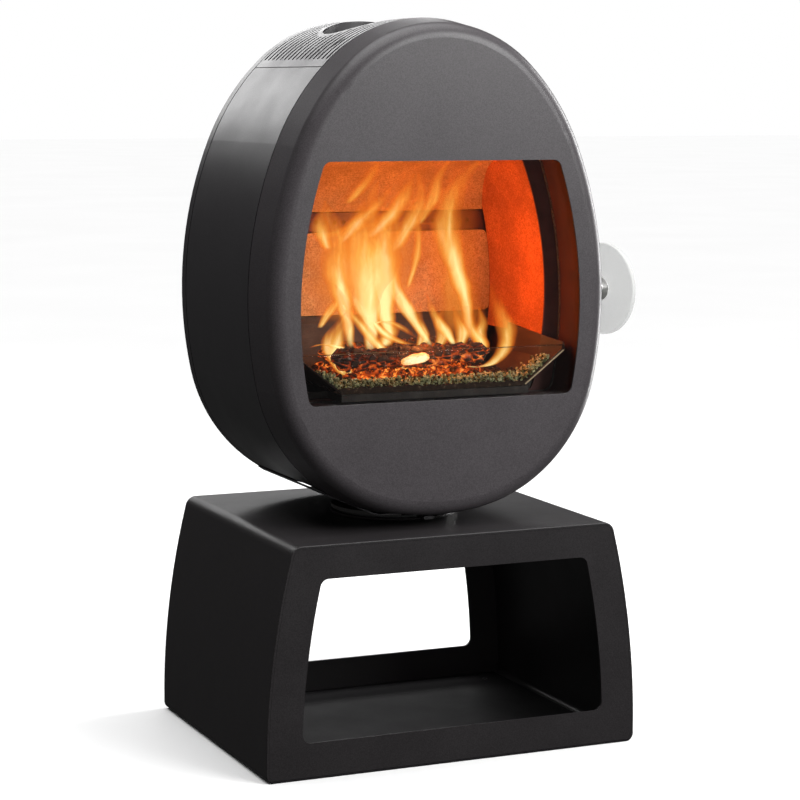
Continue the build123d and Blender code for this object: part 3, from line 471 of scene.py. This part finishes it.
def heat_at(x, y):
    """How hot the bed is: 1 in the middle, 0 along the glass and at the ends."""
    across = 1 - smooth_step(abs(x - bed_middle + 10 * MM), 80 * MM, 150 * MM)
    depth = smooth_step(y, bed_front + 22 * MM, bed_front + 62 * MM)
    return across * depth


def crusted_bed():
    """The bed's body: a closed mound with cracked ash on top."""
    step = 3 * MM
    columns = int((bed_high.x - bed_low.x - 2 * bed_side_gap) / step)
    rows = int((bed_back - bed_front - 2 * bed_front_gap) / step)
    mesh_data = bmesh.new()
    crack_layer = mesh_data.verts.layers.float.new("crack")
    heat_layer = mesh_data.verts.layers.float.new("warmth")
    top = []
    for row in range(rows + 1):
        line = []
        for column in range(columns + 1):
            x = bed_low.x + bed_side_gap + column * step
            y = bed_front + bed_front_gap + row * step
            distances, _ = noise.voronoi(Vector((x, y, 0)) * 110)
            crack = 1 - smooth_step(distances[1] - distances[0], 0.0, 0.35)
            vertex = mesh_data.verts.new((x, y, surface_at(x, y) - crack * crack_depth))
            vertex[crack_layer] = 0.25 + 0.75 * crack
            vertex[heat_layer] = heat_at(x, y)
            line.append(vertex)
        top.append(line)
    for row in range(rows):
        for column in range(columns):
            a, b = top[row][column], top[row][column + 1]
            c, d = top[row + 1][column + 1], top[row + 1][column]
            mesh_data.faces.new((a, b, c, d))
    rim = top[0] + [line[-1] for line in top[1:]] + top[-1][-2::-1] + [line[0] for line in top[-2:0:-1]]
    low = bed_floor + 0.3 * MM
    foot = [mesh_data.verts.new((point.co.x * foot_narrowing, point.co.y, low)) for point in rim]
    for i in range(len(rim)):
        j = (i + 1) % len(rim)
        mesh_data.faces.new((rim[j], rim[i], foot[i], foot[j]))
    mesh_data.faces.new(foot)
    bmesh.ops.recalc_face_normals(mesh_data, faces=mesh_data.faces)
    return mesh_data


def add_lump(mesh_data, layers, centre, size, rng, roundness, values):
    """One stone or coal: a small sphere squashed and broken into facets."""
    made = bmesh.ops.create_icosphere(mesh_data, subdivisions=roundness, radius=1.0)
    squash = Vector([rng.uniform(0.65, 1.15) for _ in range(3)])
    shift = Vector([rng.uniform(-50, 50) for _ in range(3)])
    turn = rng.uniform(0, math.tau)
    cos_turn, sin_turn = math.cos(turn), math.sin(turn)
    for vertex in made["verts"]:
        p = vertex.co.copy()
        distances, points = noise.voronoi(p * 1.1 + shift)
        p *= 0.78 + 0.3 * noise.noise(p * 1.3 + shift) + 0.22 * noise.cell(points[0] * 9)
        crack = 1 - smooth_step(distances[1] - distances[0], 0.0, 0.3)
        p *= 1 - 0.10 * crack
        p = Vector((p.x * squash.x, p.y * squash.y, p.z * squash.z)) * size
        vertex.co = centre + Vector((p.x * cos_turn - p.y * sin_turn, p.x * sin_turn + p.y * cos_turn, p.z))
        for layer, value in zip(layers, values(crack, vertex.co)):
            vertex[layer] = value


def gravel():
    """Pale chips two or three deep along the glass, heaped up the foot of each wing."""
    rng = random.Random(21)
    chip_count = 3000
    pile = 18 * MM
    left_reach = wing_foot + 30 * MM
    right_reach = wing_foot + 44 * MM
    scatter = 17 * MM
    mesh_data = bmesh.new()
    tone_layer = mesh_data.verts.layers.float.new("tone")
    for _ in range(chip_count):
        x = bed_middle + rng.uniform(-left_reach, right_reach)
        y = bed_front + 3 * MM + abs(rng.gauss(0, scatter))
        size = rng.uniform(1.3, 3.6) * MM
        climb = max(abs(x - bed_middle) - wing_foot, 0) * wing_slope
        depth = pile * (1 - 0.55 * smooth_step(y, bed_front, bed_front + 50 * MM))
        depth *= 1 - 0.5 * smooth_step(climb, 0, 30 * MM)
        z = bed_floor + climb + size * 1.15 + rng.random() * depth
        if y > bed_front + 30 * MM:
            z = max(z, surface_at(x, y) - MM)
        tone = rng.random() ** 1.2
        add_lump(mesh_data, [tone_layer], Vector((x, y, z)), size, rng, 1, lambda crack, p: [tone])
    return mesh_data


def coals():
    """Broken charcoal on the mound, glowing where it lies deep."""
    rng = random.Random(5)
    coal_count = 330
    margin = 22 * MM
    mesh_data = bmesh.new()
    layers = [mesh_data.verts.layers.float.new("crack"), mesh_data.verts.layers.float.new("warmth")]
    reach = (bed_high.x - bed_low.x) / 2 - margin
    for _ in range(coal_count):
        x = bed_middle + rng.uniform(-reach, reach)
        y = rng.uniform(bed_front + margin, bed_back - 10 * MM)
        size = rng.uniform(3.5, 9.5) * MM
        ground = surface_at(x, y)
        z = ground + size * rng.uniform(0.1, 0.7)
        warmth = heat_at(x, y) * rng.uniform(0.4, 1.4)

        def values(crack, p):
            deep = 1 - smooth_step(p.z, ground - 1 * MM, ground + 7 * MM)
            return [max(crack, deep * 0.9), warmth]

        add_lump(mesh_data, layers, Vector((x, y, z)), size, rng, 2, values)
    return mesh_data


def burning_log(node, slope, seed, hot_end, slimness):
    """A charred log in the place of its CAD solid: blocky cracked char with broken ends.

    slope is 1 where the log's right end lies further back, and -1 where it lies nearer.
    hot_end is 1 where its right end glows more, and -1 where its left end does.
    """
    low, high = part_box(node)
    radius = (high.z - low.z) / 2
    near, far = low.y + radius, high.y - radius
    height = low.z + radius
    start = Vector((low.x, near if slope > 0 else far, height))
    end = Vector((high.x, far if slope > 0 else near, height))
    axis = (end - start).normalized()
    side = axis.cross(Vector((0, 0, 1))).normalized()
    up = side.cross(axis)
    length = (end - start).length
    rings, spokes = 150, 72
    block_relief = 3.2 * MM
    lump_relief = 3.0 * MM
    grit_relief = 0.5 * MM
    crack_relief = 3.0 * MM
    broken_end = 6 * MM
    end_hollow = 3 * MM
    shift = Vector((seed * 3.7, seed * 1.3, seed * 5.1))
    mesh_data = bmesh.new()
    crack_layer = mesh_data.verts.layers.float.new("crack")
    heat_layer = mesh_data.verts.layers.float.new("warmth")
    rows = []
    for ring in range(rings + 1):
        t = ring / rings
        along = t * length
        end_gap = min(along, length - along)
        taper = 0.35 + 0.65 * smooth_step(end_gap, -2 * MM, 15 * MM)
        burnt = 0.86 + 0.16 * noise.noise(Vector((along * 22, 0, seed)))
        sway = Vector((0, noise.noise(Vector((along * 9, 5, seed))), 0)) * 5 * MM
        line = []
        for spoke in range(spokes):
            angle = math.tau * spoke / spokes
            radial = side * math.cos(angle) + up * math.sin(angle)
            sample = axis * along * 70 + radial * 2.0 + shift
            distances, points = noise.voronoi(sample)
            crack = 1 - smooth_step(distances[1] - distances[0], 0.0, 0.24)
            block = (noise.cell(points[0] * 7) - 0.5) * block_relief
            lump = noise.noise(radial * 1.1 + axis * along * 16 + shift) * lump_relief
            rough = noise.noise(radial * 9 + axis * along * 300 + shift) * grit_relief
            reach = radius * burnt * taper * slimness + block + lump + rough - crack * crack_relief
            ragged = noise.noise(radial * 2 + shift) * broken_end * (1 - smooth_step(end_gap, 0, 10 * MM))
            middle = start + axis * (along + ragged * (1 if t < 0.5 else -1)) + sway
            vertex = mesh_data.verts.new(middle + radial * max(reach, 1 * MM))
            vertex[crack_layer] = crack
            toward = smooth_step(t if hot_end > 0 else 1 - t, 0.3, 1.0)
            under = smooth_step(-math.sin(angle), -0.3, 0.9)
            vertex[heat_layer] = 0.25 + 0.45 * toward + 0.5 * under
            line.append(vertex)
        rows.append(line)
    join_rings(mesh_data, rows)
    for line, inward in ((rows[0], 1), (rows[-1], -1)):
        centre = sum((vertex.co for vertex in line), Vector()) / spokes + axis * end_hollow * inward
        tip = mesh_data.verts.new(centre)
        tip[crack_layer] = 0.6
        tip[heat_layer] = 0.8
        for spoke in range(spokes):
            mesh_data.faces.new((line[spoke], line[(spoke + 1) % spokes], tip))
    bmesh.ops.recalc_face_normals(mesh_data, faces=mesh_data.faces)
    return mesh_data


def white_hot(name):
    """The split's burning face: nearly white, cooling to orange along its rim."""
    wood = Surface(name, Roughness=0.8)
    wood.set("Base Color", wood.ramp(wood.cloud(6), (0.3, (0.3, 0.1, 0.03)), (0.7, (0.6, 0.3, 0.1))))
    core = wood.attribute("warmth")
    wood.set(
        "Emission Color",
        wood.ramp(core, (0.0, (1.0, 0.20, 0.01)), (0.5, (1.0, 0.5, 0.14)), (0.95, (1.0, 0.88, 0.55))),
    )
    wood.set("Emission Strength", wood.span(core, 0.0, 1.0, 0.8, 1.4))
    wood.bump(wood.cloud(3, detail=4), 0.4)
    return wood.material


def hot_split():
    """A short split of wood lying against the front log, burning through."""
    centre = Vector((bed_middle - 12 * MM, bed_front + 40 * MM, bed_top + 20 * MM))
    half_length, half_depth, half_height = 23 * MM, 8 * MM, 8 * MM
    tilt = math.radians(8)
    mesh_data = bmesh.new()
    heat_layer = mesh_data.verts.layers.float.new("warmth")
    bmesh.ops.create_icosphere(mesh_data, subdivisions=4, radius=1.0)
    for vertex in mesh_data.verts:
        p = vertex.co.copy()
        vertex[heat_layer] = max(0.0, 1 - 0.6 * p.x**4 - 0.5 * abs(p.z) ** 2 + 0.3 * noise.noise(p * 4))
        swell = 1 + 0.16 * noise.noise(p * 1.7) + 0.05 * noise.noise(p * 6)
        x, y, z = p.x * half_length * swell, p.y * half_depth * swell, p.z * half_height * swell
        z = max(z, -0.75 * half_height)
        vertex.co = centre + Vector((x * math.cos(tilt) - z * math.sin(tilt), y, x * math.sin(tilt) + z))
    return mesh_data


coal_material = glowing_char("glowing_coal", (0.035, 0.026, 0.022), (0.26, 0.22, 0.18), 1.5)
crust_material = glowing_char("ember_crust", (0.05, 0.03, 0.022), (0.22, 0.16, 0.11), 2.0)
log_material = glowing_char("charred_wood", (0.050, 0.044, 0.042), (0.34, 0.32, 0.30), 1.2)
stone_material = pebbles("ash_gravel")

bed = piece_from("ember_crust", crusted_bed(), crust_material)
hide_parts("ember_bed")
piece_from("gravel", gravel(), stone_material)
piece_from("charcoal", coals(), coal_material)

piece_from("hot_split", hot_split(), white_hot("white_hot_wood"))
front_char = burning_log("front_log", slope=1, seed=3, hot_end=1, slimness=0.95)
front_log = piece_from("burning_log_front", front_char, log_material)
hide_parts("front_log")
rear_char = burning_log("rear_log", slope=-1, seed=8, hot_end=-1, slimness=1.0)
rear_log = piece_from("burning_log_rear", rear_char, log_material)
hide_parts("rear_log")


# ---------------------------------------------------------------- edges of the log guard's glass


edge_inset = 0.3 * MM
edge_half_height = 0.55 * MM
guard_lip = 8 * MM


def ground_edge(name, runs, surface):
    """Slim rounded strips lying along the glass's cut edges; runs are pairs of (x, z) ends."""
    low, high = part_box("log_guard_glass")
    middle = (low.y + high.y) / 2
    half_depth = (high.y - low.y) / 2 - edge_inset
    spokes = 12
    mesh_data = bmesh.new()
    for start, end in runs:
        along = Vector((end[0] - start[0], 0, end[1] - start[1])).normalized()
        up = Vector((-along.z, 0, along.x))
        rings = []
        for x, z in (start, end):
            ring = []
            for spoke in range(spokes):
                angle = math.tau * spoke / spokes
                lift = up * math.sin(angle) * edge_half_height
                ring.append(mesh_data.verts.new(Vector((x, middle + math.cos(angle) * half_depth, z)) + lift))
            rings.append(ring)
        join_rings(mesh_data, rings)
        mesh_data.faces.new(rings[0][::-1])
        mesh_data.faces.new(rings[1])
    bmesh.ops.recalc_face_normals(mesh_data, faces=mesh_data.faces)
    piece_from(name, mesh_data, surface.material)


def painted_light_edge_surface(name, dark, light, glow):
    """A ground glass edge whose look is painted: its colour, and a glow of the given strength, stand in for
    the firelight the pane carries to it, or for its shade.
    """
    edge = Surface(name, Roughness=0.3)
    grain = edge.cloud(3)
    edge.set("Base Color", edge.ramp(grain, (0.3, dark), (0.7, light)))
    edge.set("Emission Color", edge.ramp(grain, (0.3, dark), (0.7, light)))
    edge.shader.inputs["Emission Strength"].default_value = glow
    return edge


guard_low, guard_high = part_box("log_guard_glass")
guard_knee = guard_high.z - guard_lip
top_run = ((guard_low.x + MM, guard_high.z), (guard_high.x - MM, guard_high.z))
left_run = ((-wing_foot - MM, guard_low.z + 3 * MM), (guard_low.x + MM, guard_knee))
right_run = ((wing_foot + MM, guard_low.z + 3 * MM), (guard_high.x - MM, guard_knee))
# The top and left edges get a dark colour as painted shade; the right edge a pale colour and faint glow as
# painted firelight.
painted_shade_edge = painted_light_edge_surface("guard_edge_top_painted_shade", (0.020, 0.016, 0.012), (0.045, 0.032, 0.022), 0.0)
painted_glow_edge = painted_light_edge_surface("guard_edge_side_painted_glow", (0.50, 0.40, 0.26), (0.75, 0.64, 0.44), 0.25)
ground_edge("guard_edge_painted_shade", [top_run, left_run], painted_shade_edge)
ground_edge("guard_edge_painted_glow", [right_run], painted_glow_edge)


# ---------------------------------------------------------------- flames

# Each flame is a line of points from its foot to its tip. A point is its distance right of the
# bed's middle, its depth behind the bed's front, its height over the bed, and the flame's half
# width there, in millimetres. The last number of a flame is how fierce it is.
FLAMES = {
    "left_column": ([(-96, 88, 36, 7), (-101, 88, 72, 11), (-106, 90, 100, 16), (-112, 92, 130, 23),
                     (-116, 94, 160, 28), (-114, 96, 190, 27), (-122, 98, 222, 18), (-134, 98, 252, 3)], 1.0),
    "middle_left": ([(-66, 84, 30, 9), (-66, 84, 66, 16), (-72, 86, 100, 26), (-80, 88, 135, 38),
                     (-84, 90, 170, 42), (-78, 92, 205, 36), (-68, 94, 240, 20), (-50, 96, 278, 3)], 1.25),
    "middle_right": ([(-34, 86, 50, 8), (-44, 88, 94, 20), (-50, 90, 132, 33), (-48, 92, 170, 37),
                      (-38, 94, 205, 29), (-22, 96, 240, 16), (-4, 98, 274, 3)], 1.2),
    "mass": ([(-70, 80, 84, 12), (-72, 82, 118, 30), (-74, 84, 152, 48), (-72, 86, 184, 50),
              (-66, 88, 212, 34), (-56, 90, 246, 6)], 0.85),
    "right_tongue": ([(30, 80, 34, 5), (4, 82, 70, 12), (-12, 84, 98, 15), (-29, 86, 124, 18),
                      (-34, 88, 152, 22), (-32, 90, 184, 18), (-30, 92, 214, 3)], 1.15),
    "crossing": ([(-18, 68, 2, 4), (-38, 70, 20, 8), (-62, 72, 42, 11), (-86, 76, 72, 12),
                  (-108, 80, 98, 11), (-124, 84, 130, 2)], 1.1),
    "leaf": ([(-104, 74, -4, 6), (-117, 74, 14, 15), (-130, 76, 34, 23), (-124, 78, 56, 25),
              (-108, 80, 76, 18), (-94, 82, 98, 3)], 1.15),
    "leaf_tip": ([(-100, 72, 26, 10), (-126, 72, 40, 14), (-148, 72, 44, 10), (-168, 72, 40, 2)], 1.15),
    "leaf_foot": ([(-134, 70, 28, 12), (-122, 70, 8, 10), (-108, 68, -8, 7), (-92, 66, -16, 2)], 0.95),
    "left_lick": ([(-144, 92, 66, 5), (-130, 92, 88, 11), (-114, 92, 108, 10), (-102, 92, 126, 3)], 0.85),
    "tall_column": ([(100, 92, 40, 8), (95, 92, 92, 12), (85, 93, 126, 16), (71, 95, 166, 21),
                     (61, 96, 206, 26), (66, 97, 234, 25), (76, 98, 264, 20), (98, 98, 292, 13),
                     (126, 98, 314, 3)], 0.95),
    "tall_base": ([(124, 84, 20, 5), (116, 86, 36, 12), (102, 88, 56, 14), (96, 90, 84, 10),
                   (92, 92, 112, 3)], 0.85),
    "short_tongue": ([(70, 84, 34, 6), (52, 84, 60, 12), (37, 84, 84, 10), (24, 84, 112, 2)], 1.0),
    "hook": ([(78, 56, 4, 6), (98, 56, 2, 10), (120, 57, 6, 12), (138, 60, 20, 12), (150, 68, 38, 14),
              (154, 76, 60, 17), (146, 80, 82, 17), (136, 82, 104, 11), (130, 82, 124, 2)], 0.95),
    "low_sweep": ([(-60, 62, -6, 3), (-34, 62, -8, 7), (-8, 62, -8, 7), (14, 62, -12, 2)], 0.9),
    "ribbon_low": ([(-64, 80, 74, 5), (-44, 78, 54, 11), (-16, 76, 40, 13), (14, 76, 38, 4)], 0.95),
    "ribbon_high": ([(-76, 84, 62, 5), (-50, 82, 74, 11), (-22, 80, 64, 11), (4, 78, 48, 3)], 0.85),
    "lick_a": ([(14, 86, 30, 8), (22, 88, 50, 13), (12, 90, 74, 9), (18, 90, 98, 2)], 0.85),
    "lick_b": ([(48, 88, 32, 9), (55, 90, 50, 13), (48, 92, 70, 9), (58, 92, 90, 2)], 0.8),
    "lick_c": ([(82, 88, 32, 10), (88, 90, 52, 15), (80, 92, 70, 9), (72, 92, 90, 2)], 0.85),
    "lick_d": ([(120, 86, 28, 11), (112, 88, 48, 15), (121, 90, 66, 10), (115, 90, 88, 2)], 0.85),
    "lick_e": ([(-40, 96, 34, 12), (-30, 98, 58, 18), (-40, 100, 84, 12), (-32, 100, 110, 3)], 0.9),
    "wisp_a": ([(-104, 104, 190, 12), (-76, 104, 222, 19), (-48, 104, 246, 15), (-24, 104, 272, 3)], 0.8),
    "wisp_b": ([(-60, 104, 196, 14), (-24, 104, 230, 20), (-2, 104, 260, 15), (14, 104, 290, 3)], 0.8),
    "wisp_c": ([(-24, 106, 172, 12), (6, 106, 214, 18), (24, 106, 252, 14), (20, 106, 290, 3)], 0.72),
    "wisp_d": ([(-126, 104, 180, 10), (-138, 104, 216, 15), (-130, 104, 252, 3)], 0.72),
    "wisp_e": ([(20, 106, 214, 9), (44, 106, 250, 15), (52, 106, 284, 12), (78, 106, 316, 3)], 0.6),
    "wisp_f": ([(-96, 106, 246, 9), (-70, 106, 272, 13), (-52, 106, 296, 9), (-40, 106, 316, 3)], 0.5),
    "thread": ([(0, 98, 120, 4), (14, 98, 166, 8), (16, 98, 208, 8), (8, 98, 252, 2)], 0.66),
    "haze_left": ([(-90, 116, 70, 44), (-95, 116, 150, 66), (-80, 116, 220, 60), (-50, 114, 300, 10)], 0.4),
    "haze_middle": ([(-30, 118, 80, 40), (-20, 118, 170, 62), (0, 118, 240, 62), (30, 114, 312, 10)], 0.4),
    "haze_right": ([(100, 118, 40, 36), (86, 118, 130, 46), (74, 118, 220, 50), (104, 114, 312, 10)], 0.4),
    "haze_rail": ([(-130, 120, 196, 20), (-60, 120, 214, 30), (10, 120, 216, 30), (80, 120, 210, 10)], 0.5),
    "ember_haze": ([(-110, 70, 10, 14), (-40, 70, 22, 20), (50, 70, 22, 20), (140, 70, 26, 8)], 0.45),
}


def curve_through(points, t):
    """A smooth curve through the points, at t from 0 to 1."""
    place = t * (len(points) - 1)
    i = min(int(place), len(points) - 2)
    u = place - i
    before = points[max(i - 1, 0)]
    a, b = points[i], points[i + 1]
    after = points[min(i + 2, len(points) - 1)]
    return [
        0.5 * (2 * q + (r - p) * u + (2 * p - 5 * q + 4 * r - s) * u**2 + (3 * q - p - 3 * r + s) * u**3)
        for p, q, r, s in zip(before, a, b, after)
    ]


def flame(points, power, seed):
    """A flattened closed tongue of gas along its points."""
    rings, spokes = 44, 24
    flatness = 0.38
    sway_size = 4
    flutter_size = 0.25
    least_width = 0.4
    twist = 0.5
    mesh_data = bmesh.new()
    edge_layer = mesh_data.verts.layers.float.new("edge")
    rise_layer = mesh_data.verts.layers.float.new("rise")
    power_layer = mesh_data.verts.layers.float.new("power")
    rows = []
    for ring in range(rings + 1):
        t = ring / rings
        x, y, z, width = curve_through(points, t)
        sway = noise.noise(Vector((seed, z * 0.02, 0))) * sway_size * t
        flutter = 1 + flutter_size * noise.noise(Vector((seed * 2.1, z * 0.045, 3)))
        width = max(width * flutter, least_width)
        yaw = twist * noise.noise(Vector((seed * 5.3, z * 0.012, 7)))
        line = []
        for spoke in range(spokes):
            angle = math.tau * spoke / spokes
            wide = math.cos(angle) * width
            deep = math.sin(angle) * width * flatness
            vertex = mesh_data.verts.new(
                (
                    bed_middle + (x + sway + wide * math.cos(yaw) - deep * math.sin(yaw)) * MM,
                    bed_front + (y + wide * math.sin(yaw) + deep * math.cos(yaw)) * MM,
                    bed_top + z * MM,
                )
            )
            vertex[edge_layer] = abs(math.cos(angle))
            vertex[rise_layer] = t
            vertex[power_layer] = power
            line.append(vertex)
        rows.append(line)
    join_rings(mesh_data, rows)
    mesh_data.faces.new(rows[0][::-1])
    mesh_data.faces.new(rows[-1])
    bmesh.ops.recalc_face_normals(mesh_data, faces=mesh_data.faces)
    return mesh_data


fire_material = fire("burning_gas")
for number, (name, (points, power)) in enumerate(FLAMES.items()):
    tongue = piece_from("flame_" + name, flame(points, power, number), fire_material)
    tongue.visible_shadow = False
    for face in tongue.data.polygons:
        face.use_smooth = True


# ---------------------------------------------------------------- light from the fire


def firelight(name, place, power, colour, size):
    """A warm lamp inside the firebox, given in the same way as a flame's point."""
    lamp = bpy.data.lights.new(name, "POINT")
    lamp.energy = power
    lamp.color = colour
    lamp.shadow_soft_size = size * MM
    holder = bpy.data.objects.new(name, lamp)
    x, y, z = place
    holder.location = (bed_middle + x * MM, bed_front + y * MM, bed_top + z * MM)
    holder.visible_camera = False
    holder.visible_glossy = False
    holder.visible_transmission = False
    bpy.context.scene.collection.objects.link(holder)
    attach(holder, STOVE)


FLAME_ORANGE = (1.0, 0.26, 0.04)
EMBER_RED = (1.0, 0.15, 0.02)
firelight("fire_left", (-85, 75, 130), 0.75, FLAME_ORANGE, 25)
firelight("fire_middle", (-10, 70, 190), 0.85, FLAME_ORANGE, 30)
firelight("fire_right", (85, 75, 130), 0.65, EMBER_RED, 25)
firelight("fire_low", (0, 45, 45), 0.35, FLAME_ORANGE, 25)


# ---------------------------------------------------------------- studio

floor_reach = 40.0
mesh_data = bmesh.new()
bmesh.ops.create_grid(mesh_data, x_segments=8, y_segments=8, size=floor_reach)
floor_mesh = bpy.data.meshes.new("studio_floor")
mesh_data.to_mesh(floor_mesh)
mesh_data.free()
floor = bpy.data.objects.new("studio_floor", floor_mesh)
bpy.context.scene.collection.objects.link(floor)
floor_surface = Surface("studio_floor", Roughness=0.9, Specular_IOR_Level=0.0)
floor_surface.set(
    "Base Color",
    floor_surface.ramp(floor_surface.cloud(900), (0.3, (0.90, 0.90, 0.90)), (0.7, (0.92, 0.92, 0.92))),
)
floor_mesh.materials.append(floor_surface.material)
floor.visible_glossy = False
floor.visible_diffuse = False


def softbox(name, place, aim, size, radiance, seen=True):
    """A rectangular soft light of a given brightness, aimed at a point."""
    lamp = bpy.data.lights.new(name, "AREA")
    lamp.shape = "RECTANGLE"
    lamp.size, lamp.size_y = size
    lamp.energy = radiance * math.pi * size[0] * size[1]
    holder = bpy.data.objects.new(name, lamp)
    holder.location = place
    holder.rotation_euler = (Vector(aim) - Vector(place)).to_track_quat("-Z", "Y").to_euler()
    holder.visible_camera = False
    holder.visible_glossy = seen
    bpy.context.scene.collection.objects.link(holder)


softbox("front_light", (1.5, -2.4, 2.0), (0, 0, 1.0), (1.8, 1.6), 10.0)
softbox("back_light", (0.2, 3.0, 1.9), (0, 0, 0.9), (2.6, 0.8), 4.0)
softbox("low_fill", (-0.6, -3.0, 0.5), (0, 0, 0.2), (2.4, 0.6), 2.0, seen=False)
softbox("right_strip", (2.4, 0.5, 0.9), (0.2, 0, 0.7), (0.6, 2.2), 14.0)

OVERHEAD_STRENGTH = 3.2
OVERHEAD_SPREAD = 70
overhead = bpy.data.lights.new("overhead", "SUN")
overhead.energy = OVERHEAD_STRENGTH
overhead.angle = math.radians(OVERHEAD_SPREAD)
overhead_holder = bpy.data.objects.new("overhead", overhead)
bpy.context.scene.collection.objects.link(overhead_holder)

# The room: white to the camera, dim grey as a source of light
ROOM_LIGHT = 0.05
world = bpy.data.worlds.new("studio")
bpy.context.scene.world = world
world.use_nodes = True
world_nodes, world_links = world.node_tree.nodes, world.node_tree.links
background = world_nodes["Background"]
white = world_nodes.new("ShaderNodeBackground")
white.inputs["Color"].default_value = (1, 1, 1, 1)
background.inputs["Color"].default_value = (1, 1, 1, 1)
background.inputs["Strength"].default_value = ROOM_LIGHT
path = world_nodes.new("ShaderNodeLightPath")
choice = world_nodes.new("ShaderNodeMixShader")
world_links.new(path.outputs["Is Camera Ray"], choice.inputs[0])
world_links.new(background.outputs[0], choice.inputs[1])
world_links.new(white.outputs[0], choice.inputs[2])
world_links.new(choice.outputs[0], world_nodes["World Output"].inputs["Surface"])

scene = bpy.context.scene
scene.view_settings.view_transform = "Standard"
# Many see-through flames and two panes lie one behind another
scene.cycles.transparent_max_bounces = 48
scene.cycles.transmission_bounces = 16
scene.cycles.max_bounces = 16
scene.cycles.use_denoising = True

LENS = 107.45
SENSOR_WIDTH = 36.0
camera_place = Vector((-1.4502, -3.2939, 0.9770))
camera_aim = Vector((0.00976, 0.0, 0.5052))
camera_roll = math.radians(0.215)
camera = bpy.data.cameras.new("camera")
camera.lens = LENS
camera.sensor_width = SENSOR_WIDTH
camera_holder = bpy.data.objects.new("camera", camera)
scene.collection.objects.link(camera_holder)
camera_holder.location = camera_place
look = (camera_aim - camera_place).to_track_quat("-Z", "Y").to_matrix().to_4x4()
camera_holder.rotation_euler = look.to_euler()
camera_holder.rotation_euler.rotate_axis("Z", camera_roll)
scene.camera = camera_holder
